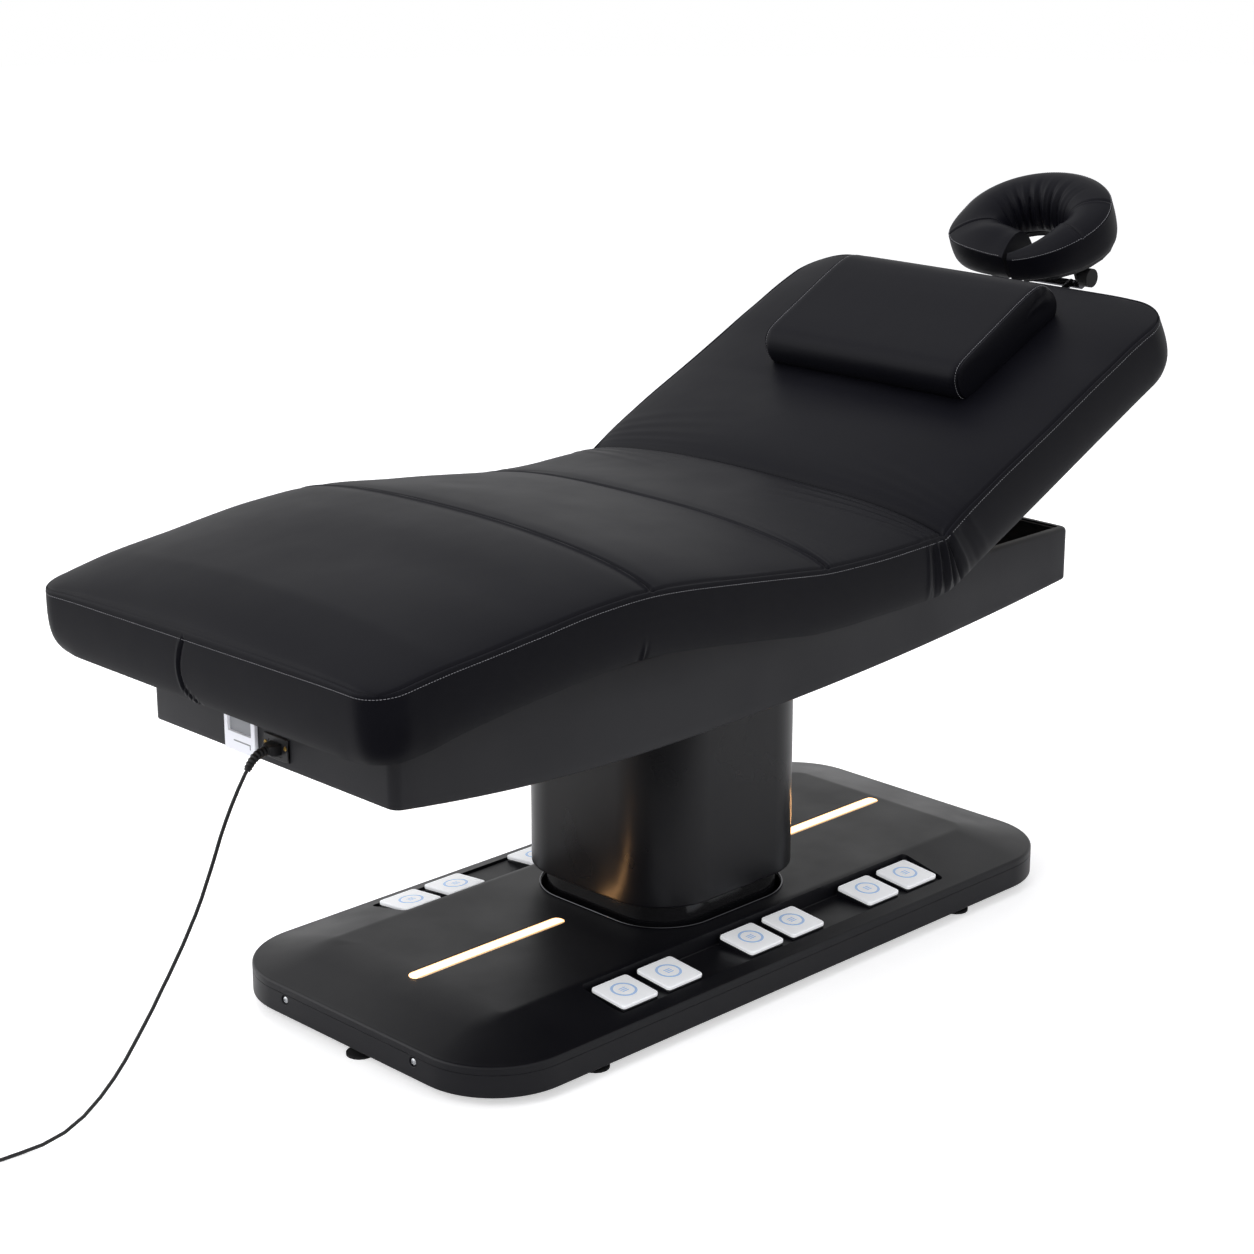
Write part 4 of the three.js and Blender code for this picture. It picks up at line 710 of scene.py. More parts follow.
# %% Build one section of the pad
def pad_section(name, start, stop, foot, head, coarse=9.0):
    """A closed shell: top grid, bottom grid with a recess over the board, and wall strips between
    their borders, with a flat cap where the section meets its neighbour. Returns the object and the
    stitch line with its outward direction, in metres."""
    places = [(s, 13) for s in SEAMS] + [(at_x(FOLD_X), 52), (0, 11), (TOTAL, 11)]
    rows = steps_between(start, stop, coarse, places)
    half = steps_between(0, WIDE, 11.0, [(WIDE, 12), (325, 2), (28, 14)])
    columns = np.concatenate([-half[::-1], half[1:]])
    m, n = len(rows), len(columns)
    along, across = np.meshgrid(rows, columns, indexing="ij")
    up = top_relief(along, across)
    corner = FOOT_CORNER if foot else HEAD_CORNER
    plan_along, plan_across = rounded_plan(along, across, foot, head, corner)
    up[:, 0] = up[:, -1] = 0
    if foot:
        up[0] = 0
    if head:
        up[-1] = 0
    top = lifted(plan_along, plan_across, up)
    over_board = (np.abs(plan_across) < 326) & (np.minimum(along, TOTAL - along) > 40)
    cut = stop if foot else start
    inward = 1 - 22 / (stop - start) if foot or head else 1
    bottom = lowered(cut + (plan_along - cut) * inward, plan_across * 0.95, np.where(over_board, 12.3, 0.0))
    near, far = [(i, 0) for i in range(m)], [(i, n - 1) for i in range(m)]
    if foot:
        strips = [near[::-1] + [(0, j) for j in range(1, n - 1)] + far]
    elif head:
        strips = [near + [(m - 1, j) for j in range(1, n - 1)] + far[::-1]]
    else:
        strips = [near, far]
    share = np.array([0.035, 0.08, 0.14, 0.22, 0.31, 0.4, 0.5, 0.6, 0.7, 0.78, 0.85, 0.91, 0.96, 1.0])
    k = len(share)
    points = [top.reshape(-1, 3), bottom.reshape(-1, 3)]
    faces = quads(m, n).tolist()
    faces += (quads(m, n) + m * n).tolist()
    count, ends, lines = 2 * m * n, {}, []
    for strip in strips:
        ij = np.array(strip)
        flat = ij[:, 0] * n + ij[:, 1]
        a, y = plan_along[ij[:, 0], ij[:, 1]], plan_across[ij[:, 0], ij[:, 1]]
        step = np.stack([np.gradient(a), np.gradient(y)], axis=1)
        step /= np.linalg.norm(step, axis=1, keepdims=True) + 1e-12
        out = np.stack([step[:, 1], -step[:, 0]], axis=1)
        middle = np.stack([a - np.clip(a, corner if foot else -1e9, TOTAL - corner if head else 1e9),
                           np.sign(y) * np.maximum(np.abs(y) - (WIDE - corner), 0)], axis=1)
        out *= np.sign((out * middle).sum(axis=1, keepdims=True) + 1e-9)
        slant = np.interp(a, length, tilt)
        away = np.stack([out[:, 0] * np.cos(slant), out[:, 1], out[:, 0] * np.sin(slant)], axis=1)
        rim, low = lifted(a, y, 0.0), lowered(a, y)
        offset = wall_relief(a[:, None], y[:, None], share[None])
        wall = rim[:, None] + share[None, :, None] * (low - rim)[:, None] + offset[..., None] * away[:, None]
        points[1][flat] = wall[:, -1]
        points.append(wall[:, :-1].reshape(-1, 3))
        own = count + np.arange(len(ij) * (k - 1)).reshape(len(ij), k - 1)
        table = np.concatenate([flat[:, None], own, flat[:, None] + m * n], axis=1)
        faces += np.stack([table[:-1, :-1], table[1:, :-1], table[1:, 1:], table[:-1, 1:]],
                          axis=-1).reshape(-1, 4).tolist()
        count += own.size
        ends.update({strip[0]: table[0], strip[-1]: table[-1]})
        lines.append((metres(rim + 0.045 * (low - rim) + 0.5 * away), away))
    for row, rounded in ((0, foot), (m - 1, head)):
        if not rounded:
            upper = row * n + np.arange(n)
            faces.append([*upper, *ends[(row, n - 1)][1:], *(upper + m * n)[::-1][1:],
                          *ends[(row, 0)][1:-1][::-1]])
    made = piece(name, metres(np.concatenate(points)), faces, "upholstery", sharp=48)
    made.data.materials.append(leather)
    print(name, len(made.data.vertices), "points")
    return made, lines


# %% The three sections
MID_SEAT, MID_THIGH = at_x(10), at_x(-250)
back_pad, back_lines = pad_section("mattress_back", MID_SEAT, TOTAL, False, True)
hip_pad, hip_lines = pad_section("mattress_hip", MID_THIGH, MID_SEAT, False, False)
leg_pad, leg_lines = pad_section("mattress_legs", 0, MID_THIGH, True, False)
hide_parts("back_cushion", "back_fold", "seat_cushion")
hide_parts("hip_fold", "thigh_cushion")
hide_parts("knee_fold", "calf_cushion")
bends = {  # piece end: body before, body after, start and end of the bend
    "back": ("lift", "back", (0.081, 0, 0.66), (0.268, 0, 0.70)),
    "hip": ("lift", "thigh", (-0.088, 0, 0.68), (-0.198, 0, 0.68)),
    "legs": ("thigh", "calf", (-0.453, 0, 0.72), (-0.583, 0, 0.72)),
}
for pad, which in ((back_pad, "back"), (hip_pad, "hip"), (leg_pad, "legs")):
    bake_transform(pad)


# %% [markdown]
# ### Topstitching
# A light grey thread runs just below the edge in stitches 5 mm apart. Each stitch is a tiny capsule of
# 24 points, repeated as one array. The thread is drawn 0.8 mm thick, a little more than the real one,
# which is thinner than the camera can show.


# %% Stitches along a line
def stitches(name, line, away, material, pitch=5.0, long=3.7, thick=0.8, body=None, bend=None):
    """Capsules with centres every pitch mm along the line: ring k at a_k along the tangent, radius
    r_k, sides turned from the outward direction."""
    gone, near = travelled(line), 0.0006
    at = np.arange(pitch / 2000, gone[-1] - pitch / 2000, pitch / 1000)
    centre = sampled(at, gone, line)
    ahead = unit(sampled(at + near, gone, line) - sampled(at - near, gone, line))
    side = unit(np.cross(ahead, sampled(at, gone, away)))
    out = np.cross(side, ahead)
    a = np.array([-0.5, -0.36, 0.36, 0.5]) * long / 1000
    r = np.array([0.35, 1.0, 1.0, 0.35]) * thick / 2000
    turn = np.arange(6) / 6 * 2 * math.pi
    ring = (a[None, :, None, None] * ahead[:, None, None] + r[None, :, None, None]
            * (np.cos(turn)[None, None, :, None] * out[:, None, None]
               + np.sin(turn)[None, None, :, None] * side[:, None, None]))
    points = (centre[:, None, None] + ring).reshape(-1, 3)
    one = quads(4, 6, around=True)
    faces = (one[None] + 24 * np.arange(len(at))[:, None, None]).reshape(-1, 4).tolist()
    caps = np.array([[0, 1, 2, 3, 4, 5], [18, 19, 20, 21, 22, 23]])
    faces += (caps[None] + 24 * np.arange(len(at))[:, None, None]).reshape(-1, 6).tolist()
    made = piece(name, points, faces, "upholstery", body, sharp=80)
    made.data.materials.append(material)
    if bend:
        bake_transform(made)
    return made


for which, lines in (("back", back_lines), ("hip", hip_lines), ("legs", leg_lines)):
    for number, (line, away) in enumerate(lines):
        made = stitches(f"topstitch_{which}_{number + 1}", line, away, thread, bend=bends[which])
        print(made.name, len(made.data.vertices) // 24, "stitches")

# %% [markdown]
# ## The pillow
# A firm contoured pillow lies on the back section. Its side view is a closed outline: a round front
# lip, a nearly flat top and a rounded rear. Carried across the bed it keeps its shape, then closes in
# a slightly puffed side panel behind a stitched seam.

# %% Pillow outline
PILLOW_Y, PILLOW_LOW = -6.0, 122.4
pillow_points = np.array([
    (346, PILLOW_LOW), (333, 124.5), (324, 133), (320, 147), (319.5, 161), (323, 175), (332, 186),
    (346, 191.5), (382, 194), (448, 197), (506, 200), (541, 201), (570, 200), (589, 194), (603, 179),
    (611, 160), (612, 145), (607, 132), (598, 124.5), (588, PILLOW_LOW), (540, PILLOW_LOW),
    (480, PILLOW_LOW), (410, PILLOW_LOW)])


def smooth_loop(points, count, width=3):
    """A closed loop resampled at equal steps and softened by a bell over neighbouring samples."""
    closed = np.concatenate([points, points[:1]])
    gone = travelled(closed)
    loop = sampled(np.arange(count) / count * gone[-1], gone, closed)
    reach = np.arange(-3 * width, 3 * width + 1)
    weight = np.exp(-0.5 * (reach / width) ** 2)
    return sum(w * np.roll(loop, r, axis=0) for w, r in zip(weight / weight.sum(), reach))


outline = smooth_loop(pillow_points, 180, 2)
outline[:, 1] = np.maximum(outline[:, 1], PILLOW_LOW)
print("pillow outline", len(outline), "points")

# %% Pillow body
middle = np.array([466.0, 158.0])
across = np.concatenate([np.linspace(0, 198, 20), [203, 206, 208.5, 210.5, 212, 213.2, 214.4, 215.6]])
drawn = np.interp(across, [0, 150, 203, 208.5, 212, 213.2, 215.6], [1, 1, 0.996, 0.984, 0.958, 0.946, 0.955])
cap = np.array([0.92, 0.84, 0.72, 0.56, 0.38, 0.18])
across = np.concatenate([across, 215.6 + 4.5 * np.sqrt(1 - (cap / 0.955) ** 2)])
drawn = np.concatenate([drawn, cap])
across, drawn = np.concatenate([-across[:0:-1], across]), np.concatenate([drawn[:0:-1], drawn])
loops = middle + (outline - middle) * drawn[:, None, None]
side = np.broadcast_to(across[:, None], loops.shape[:2]).copy()
on_panel = np.clip((np.abs(side) - 213) / 3, 0, 1)
for place, lean, height, wide in ((560, 0.25, 2.4, 5), (574, 0.12, -2.2, 4), (586, 0.02, 2.2, 4),
                                  (596, -0.1, -1.6, 4), (545, 0.4, -1.4, 6)):
    line = loops[..., 0] - place - lean * (loops[..., 1] - 160)
    side += np.sign(side) * on_panel * height * bell(line, wide) * bell(loops[..., 1] - 172, 30)
pillow = loft("pillow_cushion", on_back(loops[..., 0], side + PILLOW_Y, loops[..., 1]), "upholstery",
              "pillow", sharp=50)
pillow.data.materials.append(leather)
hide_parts("pillow")
for number, sign in enumerate((-1, 1)):
    rim = middle + (outline - middle) * 0.975
    keep = rim[:, 1] > 124
    first = int(np.argmax(~keep & np.roll(keep, -1))) + 1
    order = np.roll(np.arange(len(rim)), -first)
    order = order[keep[order]]
    line = on_back(rim[order, 0], np.full(len(order), sign * 211.0 + PILLOW_Y), rim[order, 1])
    away = unit(line - on_back(middle[0], sign * 190.0 + PILLOW_Y, middle[1]))
    stitches(f"pillow_stitch_{number + 1}", line, away, thread, pitch=4.5, long=3.2, body="pillow")
print("pillow", len(pillow.data.vertices), "points")

# %% [markdown]
# ## The face cradle
# A horseshoe cushion with a slit towards the pillow. One section is carried round an oval, from the
# far side of the slit to the near side. Its outer wall is upright, its inner wall slopes into the hole,
# and the near end narrows to a tip beside the slit.

# %% Cradle section and sweep
CRADLE, CRADLE_Y, HALF_LONG, HALF_WIDE, TUBE = 849.6, 3.1, 122.0, 151.5, 93.0
section = np.array([
    (0.10, 0.0), (0.03, 0.1), (0.0, 0.24), (0.01, 0.4), (0.045, 0.57), (0.10, 0.73), (0.18, 0.87),
    (0.29, 0.97), (0.42, 1.03), (0.57, 1.05), (0.72, 1.03), (0.86, 0.98), (0.96, 0.91), (1.0, 0.865),
    (1.0, 0.8), (1.005, 0.6), (1.0, 0.4), (0.985, 0.2), (0.95, 0.06), (0.92, 0.0), (0.8, 0.0),
    (0.5, 0.0), (0.25, 0.0)])
fine = np.arange(0, len(section), 0.25)
lip = sampled(fine, np.arange(len(section) + 1), np.concatenate([section, section[:1]]))
soft = sum(w * np.roll(lip, r, axis=0) for w, r in zip((0.1, 0.2, 0.4, 0.2, 0.1), (-2, -1, 0, 1, 2)))
corner_near = np.abs(fine - 13) < 1.0
lip = np.where(corner_near[:, None], lip, soft)
rounds = np.linspace(0, 1, 260)
slit_far, slit_near = math.asin(-12 / HALF_WIDE), 2 * math.pi + math.asin(-20 / HALF_WIDE)
theta = slit_far + rounds * (slit_near - slit_far)


def oval(theta, inset, squarer):
    """(-(a - inset) * sgn(cos) |cos|^p, (b - inset) * sgn(sin) |sin|^p), with p below 1 in the
    quarter beside the slit on the far side, where the cushion is cut flat."""
    c, s = np.cos(theta), np.sin(theta)
    power = np.where((c > 0) & (s > 0), squarer, 1.0)
    return np.stack([-(HALF_LONG - inset) * np.sign(c) * np.abs(c) ** power,
                     (HALF_WIDE - inset) * np.sign(s) * np.abs(s) ** power], axis=-1)


outer, inner = oval(theta, 0, 0.62), oval(theta, TUBE, 1.0)
near_tip = np.clip((rounds - 0.84) / 0.16, 0, 1) ** 1.5
inner = inner + (outer * 0.93 - inner) * (near_tip * 0.85)[:, None]
across = inner[:, None] + (outer - inner)[:, None] * lip[None, :, 0, None]
level = np.clip(lip[None, :, 1], 0, 1)
arch = 5 * bell(rounds - 0.075, 0.06) - 4 * bell(rounds, 0.03)
slope = 0.1086 * across[..., 0] - 11 * near_tip[:, None] + arch[:, None]
up = 80 + 72 * lip[None, :, 1] + level * slope
inner_side = np.exp(-np.clip(lip[None, :, 0] / 0.42, 0, None) ** 2) * np.clip(lip[None, :, 1] * 3 - 0.2, 0, 1)
folds = (  # place round the ring, lean, height in mm, width
    (0.315, 0.03, 2.2, 0.008), (0.34, 0.02, -2.6, 0.006), (0.365, 0.02, 3.0, 0.007),
    (0.385, 0.01, -3.4, 0.005), (0.41, 0.01, 3.6, 0.007), (0.43, 0.02, -4.0, 0.005),
    (0.455, 0.0, 4.2, 0.007), (0.475, -0.01, -4.2, 0.005), (0.50, 0.0, 4.4, 0.007),
    (0.525, 0.0, -4.0, 0.005), (0.55, -0.01, 3.6, 0.007), (0.572, -0.02, -3.4, 0.005),
    (0.60, -0.02, 2.6, 0.008), (0.63, -0.02, -2.2, 0.006), (0.28, 0.03, -1.8, 0.008))
for place, lean, height, wide in folds:
    line = rounds[:, None] - place - lean * (lip[None, :, 1] - 0.7)
    ridge = height * bell(line, wide) * inner_side
    up = up + 0.45 * ridge
    across = across - ridge[..., None] * (outer - inner)[:, None] / TUBE
for place in (0.165, 0.69, 0.83):
    on_top = np.clip(lip[None, :, 1] * 2 - 0.9, 0, 1)
    gap = rounds[:, None] - place
    up = up - (2.8 * bell(gap, 0.0035) - 1.0 * bell(gap - 0.008, 0.004)) * on_top
loops = on_back(CRADLE + across[..., 0], CRADLE_Y + across[..., 1], up)
cradle = loft("cradle_ring", loops, "upholstery", "cradle", sharp=52)
cradle.data.materials.append(leather)
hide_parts("cradle_cushion")
print("cradle", len(cradle.data.vertices), "points")

# %% Cradle topstitch
edge = int(np.argmin(np.abs(fine - 12.4)))
line = loops[2:-2, edge]
away = unit(line - on_back(CRADLE, CRADLE_Y, 60))
made = stitches("cradle_stitch", line + 0.0003 * away, away, thread, pitch=4.5, long=3.4, body="cradle")
print("cradle stitches", len(made.data.vertices) // 24)

# %% [markdown]
# ## The base shell
# A moulded cover with a sloping bevel all round its plateau. It is one stack of rounded rectangles: the
# plan shrinks while the height rises, and at the foot end the bevel meets the plateau in a long soft
# curve. The pedal channels, the well of the column, the light slots and the end recesses are then cut
# out with an exact boolean, as a mould's inserts would.


# %% Base outline
BASE_HALF_LONG, BASE_HALF_WIDE, BASE_CORNER = 678, 324, 136
WALL_TOP, PLATEAU_TOP = 65, 95
WELL_HALF, WELL_CORNER = 171, 101
CHANNEL_Y, CHANNEL_HALF_LONG, CHANNEL_HALF_WIDE = 251.5, 384, 44.5
LIGHT_X, LIGHT_HALF_LONG, LIGHT_HALF = 389, 161, 14.2
RECESS_Y, RECESS_Z = 152.5, 46.8


def base_ring(inset_x, inset_y, radius, height):
    """A rounded rectangle, inset on each side, at a height in mm, 84 points."""
    loop = rounded_rectangle(BASE_HALF_LONG - inset_x, BASE_HALF_WIDE - inset_y, max(radius, 4), 20)
    return np.column_stack([loop, np.broadcast_to(height, len(loop))])


turn = np.linspace(0, math.pi / 2, 21)
facing = np.concatenate([turn + q * math.pi / 2 for q in range(4)])
blend_wide = 0.03 + 0.32 * np.clip(-np.cos(facing), 0, 1) ** 2
wall_rows = (  # inset, corner radius, height
    (4.3, 131, 25.8), (4.3, 131, 20), (0.8, 135, 20), (0, BASE_CORNER, 20.8), (0, BASE_CORNER, 40),
    (0, BASE_CORNER, 56.2), (0.7, 135.3, 56.6), (0.7, 135.3, 57.0), (0, BASE_CORNER, 57.4),
    (0, BASE_CORNER, WALL_TOP))
rows = [base_ring(inset, inset, radius, z) for inset, radius, z in wall_rows]
EDGE = 5
for a in np.linspace(0, math.pi / 2, 7)[1:]:
    gone = EDGE * (1 - math.cos(a))
    rows.append(base_ring(gone, gone, BASE_CORNER - gone, WALL_TOP + EDGE * math.sin(a)))
rise = PLATEAU_TOP - WALL_TOP - EDGE
for share in np.concatenate([np.linspace(0.06, 0.6, 5), np.linspace(0.64, 1.36, 25)]):
    near = np.clip(1 - share + blend_wide, 0, 2 * blend_wide)
    bevel, crest = WALL_TOP + EDGE + rise * share, PLATEAU_TOP - rise * near ** 2 / (4 * blend_wide)
    height = np.where(share < 1 - blend_wide, bevel, crest)
    corner = max(BASE_CORNER - EDGE - 101 * share, 20)
    rows.append(base_ring(EDGE + 115 * share, EDGE + 119 * share, corner, height))
shell = loft("base_shell", metres(rows), "base_shell", "base", sharp=24)
print("shell rows", len(rows))


# %% Cut the shell
def cutter(name, loops):
    """A closed loft kept only while it cuts."""
    return loft(name, metres(loops), "base_shell")


def upright(x, y, half_x, half_y, radius, steps, levels):
    """Rounded rectangles round (x, y), one for each (z, growth) level."""
    return [np.column_stack([rounded_rectangle(half_x + g, half_y + g, radius + g, steps) + (x, y),
                             np.full(4 * steps + 4, z)]) for z, g in levels]


well_levels = ((60, 0), (93.2, 0), (94.6, 0.7), (95.6, 2.2), (99, 2.2))
channel_levels = ((68, -1.5), (69.5, 0), (73, 0), (100, 1.6))
light_levels = ((91, 0), (94.4, 0), (95.4, 0.9), (99, 0.9))
recess_stations = ((675, 7.4), (677.2, 7.8), (678.4, 9), (682, 9))
cutters = [cutter("cut_well", upright(0, 0, WELL_HALF, WELL_HALF, WELL_CORNER, 20, well_levels))]
for side in (-1, 1):
    cutters.append(cutter("cut_channel", upright(0, side * CHANNEL_Y, CHANNEL_HALF_LONG, CHANNEL_HALF_WIDE,
                                                 8, 5, channel_levels)))
    cutters.append(cutter("cut_light", upright(side * LIGHT_X, 0, LIGHT_HALF_LONG, LIGHT_HALF, LIGHT_HALF,
                                               8, light_levels)))
    for end in (-1, 1):
        stations = [(end * x, r) for x, r in recess_stations]
        cutters.append(cutter("cut_recess", discs(side * RECESS_Y, RECESS_Z, stations)))
for tool in cutters:
    cut = shell.modifiers.new(tool.name, "BOOLEAN")
    cut.operation, cut.solver, cut.object = "DIFFERENCE", "EXACT", tool
done = bpy.data.meshes.new_from_object(shell.evaluated_get(bpy.context.evaluated_depsgraph_get()))
shell.modifiers.clear()
shell.data = done
for tool in cutters:
    bpy.data.objects.remove(tool)
done.set_sharp_from_angle(angle=math.radians(24))
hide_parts("base_cover")
print("shell", len(done.polygons), "faces")

# %% Screws in the end recesses
screw_stations = ((674.8, 6), (675.6, 6), (676.5, 5.4), (677.2, 4.2), (677.6, 2.4), (677.7, 1.9),
                  (676.7, 1.7))
for number, (end, side) in enumerate(((-1, -1), (-1, 1), (1, -1), (1, 1))):
    rows = discs(side * RECESS_Y, RECESS_Z, [(end * x, r) for x, r in screw_stations])
    loft(f"end_screw_{number + 1}", metres(rows), "bright_steel", "base")
print("screws", 4)

# %% [markdown]
# ## The lift column, its trim and the light strips
# The outer sleeve has a rolled lower lip, the inner one is lacquered. A round trim lies along the rim
# of the well. Each light strip is a domed bar with round ends.

# %% Column
SLEEVE_HALF, CORE_HALF, TRIM_HALF = 183.5, 162, 173.7
sleeve_levels = ((470, -4), (141, -4), (137.4, -3.2), (136.2, -2.1), (136.3, -0.9), (137.4, -0.15),
                 (139.4, 0), (240, 0), (360, 0), (486, 0))
sleeve = upright(0, 0, SLEEVE_HALF, SLEEVE_HALF, 105, 16, sleeve_levels)
outer_sleeve = loft("column_sleeve", metres(sleeve), "column_satin", "lift")
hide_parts("column_outer")
core_levels = ((25.3, 0), (140, 0), (424, 0), (427.2, -0.8), (428, -2), (428, -4), (40, -4))
core = upright(0, 0, CORE_HALF, CORE_HALF, 92, 16, core_levels)
inner_sleeve = loft("column_core", metres(core), "column_gloss", "base")
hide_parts("column_inner")
plan = rounded_rectangle(TRIM_HALF, TRIM_HALF, TRIM_HALF - 70, 16)
facing = np.concatenate([np.linspace(0, math.pi / 2, 17) + q * math.pi / 2 for q in range(4)])
ring = np.arange(10) / 10 * 2 * math.pi
swept = np.stack([plan[:, None, 0] + 1.3 * np.cos(ring) * np.cos(facing)[:, None],
                  plan[:, None, 1] + 1.3 * np.cos(ring) * np.sin(facing)[:, None],
                  np.broadcast_to(96.55 + 1.25 * np.sin(ring), (len(plan), 10))], axis=-1)
trim = loft("well_trim", metres(swept), "trim_chrome", "base", closed=True, sharp=60)
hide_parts("column_trim")
print("sleeves", outer_sleeve.name, inner_sleeve.name)

# %% Light strips
bar_levels = ((91.3, 0), (93.6, 0), (94.3, -0.35), (94.75, -1.1), (94.95, -2.2), (95.0, -3.4))
BAR_HALF_LONG, BAR_HALF = LIGHT_HALF_LONG - 0.6, LIGHT_HALF - 0.5
for end, node in ((-1, "light_strip_foot"), (1, "light_strip_head")):
    rows = upright(end * LIGHT_X, 0, BAR_HALF_LONG, BAR_HALF, BAR_HALF, 8, bar_levels)
    bar = loft(f"lit_bar_{'foot' if end < 0 else 'head'}", metres(rows), "light_lens", "base", sharp=50)
    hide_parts(node)
print("light strips", 2)

# %% [markdown]
# ## Pedals
# Twelve slabs with rounded corners, each sloping down from its hinge. The wedges under them stay clear
# of a pressed pedal, and lie inside the dark housings of the CAD rails. A UV map runs from 0 to 1 across
# each slab, so that one material can draw the pale blue ring and bars of a plain mark on all of them. A
# little emission stands for the strong studio light that makes them nearly white in the photograph.


# %% Twelve pedals
HINGE_Y, HINGE_Z, PEDAL_SLOPE = 216, 89.4, math.radians(5.5)
TREAD_HALF_LONG, TREAD_HALF_WIDE, TREAD_MIDDLE = 38.4, 37, 37.3
TREAD_LEVELS = (  # height, inset
    (-6.5, 1.4), (-6.2, 0.4), (-5.3, 0), (-1.6, 0), (-0.7, 0.35), (-0.2, 0.95), (0, 1.8))
SLAB_LONG, SLAB_WIDE = 77, 74
WEDGE_HALF_LONG, WEDGE_HALF_WIDE, WEDGE_LOW, WEDGE_TOP, WEDGE_FALL = 35.5, 33, 69.7, 81.6, 0.128


def pedal(name, middle, side, body):
    """Rounded squares stacked to 6.5 mm, turned by the slope about the hinge: y = hinge + out * cos +
    rise * sin and z = hinge - out * sin + rise * cos."""
    c, s = math.cos(PEDAL_SLOPE), math.sin(PEDAL_SLOPE)
    rows = []
    for level, inset in TREAD_LEVELS:
        loop = rounded_rectangle(TREAD_HALF_LONG - inset, TREAD_HALF_WIDE - inset, 6.5 - min(inset, 1.5), 6)
        out, rise = loop[:, 1] + TREAD_MIDDLE, np.full(len(loop), level)
        rows.append(np.column_stack([middle + loop[:, 0], side * (HINGE_Y + out * c + rise * s),
                                     HINGE_Z - out * s + rise * c]))
    made = loft(name, metres(rows), "pedal_plastic", body)
    flat = made.data.uv_layers.new(name="slab")
    corners = np.empty(len(made.data.loops), int)
    made.data.loops.foreach_get("vertex_index", corners)
    at = np.empty(len(made.data.vertices) * 3)
    made.data.vertices.foreach_get("co", at)
    at = at.reshape(-1, 3)[corners] * 1000
    u = (at[:, 0] + ORIGIN_X - middle) / SLAB_LONG + 0.5
    v = (np.abs(at[:, 1]) - HINGE_Y) / SLAB_WIDE
    flat.uv.foreach_set("vector", np.column_stack([u, v]).astype(np.float32).ravel())
    return made


names = ("legs_down", "legs_up", "height_down", "height_up", "back_down", "back_up")
for side, where in ((-1, "near"), (1, "far")):
    for number, (name, middle) in enumerate(zip(names, (-335, -237, -49, 49, 237, 335))):
        made = pedal(f"tread_{where}_{name}", middle, side, f"pedal_{where}_{number + 1}")
        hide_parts(f"pedal_{where}_{name}")
        plan = rounded_rectangle(WEDGE_HALF_LONG, WEDGE_HALF_WIDE, 4, 4)
        out = plan[:, 1] + TREAD_MIDDLE
        wedge = [np.column_stack([middle + plan[:, 0], side * (HINGE_Y + out), np.broadcast_to(z, len(out))])
                 for z in (WEDGE_LOW, WEDGE_TOP - WEDGE_FALL * out)]
        loft(f"wedge_{where}_{name}", metres(wedge), "pedal_plastic", "base")
print("pedals", 12)

# %% The mark on the pedals
white = finishes["pedal_plastic"].copy()
white.name = "white_asa_with_mark"
tree = white.node_tree
skin = found(tree, "BSDF_PRINCIPLED")
plain = skin.inputs["Base Color"].links[0].from_socket
flat = add(tree, "ShaderNodeUVMap", uv_map="slab")
moved = add(tree, "ShaderNodeVectorMath", {0: flat.outputs[0]}, operation="SUBTRACT")
moved.inputs[1].default_value = (0.5, 0.47, 0)
away = add(tree, "ShaderNodeVectorMath", {0: moved.outputs[0]}, operation="LENGTH")
mark = add(tree, "ShaderNodeMath", {0: away.outputs["Value"]}, operation="COMPARE")
mark.inputs[1].default_value, mark.inputs[2].default_value = 0.25, 0.03
parts = add(tree, "ShaderNodeSeparateXYZ", {"Vector": moved.outputs[0]})
wide = add(tree, "ShaderNodeMath", {0: parts.outputs["X"]}, operation="COMPARE")
wide.inputs[1].default_value, wide.inputs[2].default_value = 0.0, 0.09
for place in (-0.06, 0.0, 0.06):
    bar = add(tree, "ShaderNodeMath", {0: parts.outputs["Y"]}, operation="COMPARE")
    bar.inputs[1].default_value, bar.inputs[2].default_value = place, 0.017
    both = add(tree, "ShaderNodeMath", {0: bar.outputs[0], 1: wide.outputs[0]}, operation="MULTIPLY")
    mark = add(tree, "ShaderNodeMath", {0: mark.outputs[0], 1: both.outputs[0]}, operation="MAXIMUM")
inked = add(tree, "ShaderNodeMix", {"Factor": mark.outputs[0]}, data_type="RGBA")
tree.links.new(plain, inked.inputs[6])
inked.inputs[7].default_value = linear("#a9c3e6")
tree.links.new(inked.outputs[2], skin.inputs["Base Color"])
tree.links.new(inked.outputs[2], skin.inputs["Emission Color"])
skin.inputs["Emission Strength"].default_value = 0.22
for made in bpy.data.objects:
    if made.name.startswith("tread_"):
        made.data.materials.append(white)
print("mark nodes", len(tree.nodes))

# %% [markdown]
# ## The tray
# A pressed steel tray under the mattress. Its keel is deepest 280 mm from the column's middle, towards
# the foot end, and rises to both ends along a parabola. The wall is 3 mm thick, with an inward flange at the rim.


# %% Tray shell
KEEL_X, KEEL_LOW, FOOT_RISE, HEAD_RISE = -280, 473, 39, 62
TRAY_MIDDLE, TRAY_HALF_LONG, TRAY_HALF_WIDE, TRAY_TOP = -45, 761, 280, 626.0


def keel(x):
    """Lowest height + rise * u^2, with u from 0 at the keel's place to 1 at either end of the tray."""
    foot, head = TRAY_MIDDLE - TRAY_HALF_LONG, TRAY_MIDDLE + TRAY_HALF_LONG
    u = np.where(x < KEEL_X, (x - KEEL_X) / (foot - KEEL_X), (x - KEEL_X) / (head - KEEL_X))
    return KEEL_LOW + np.where(x < KEEL_X, FOOT_RISE, HEAD_RISE) * np.clip(u, 0, 1) ** 2


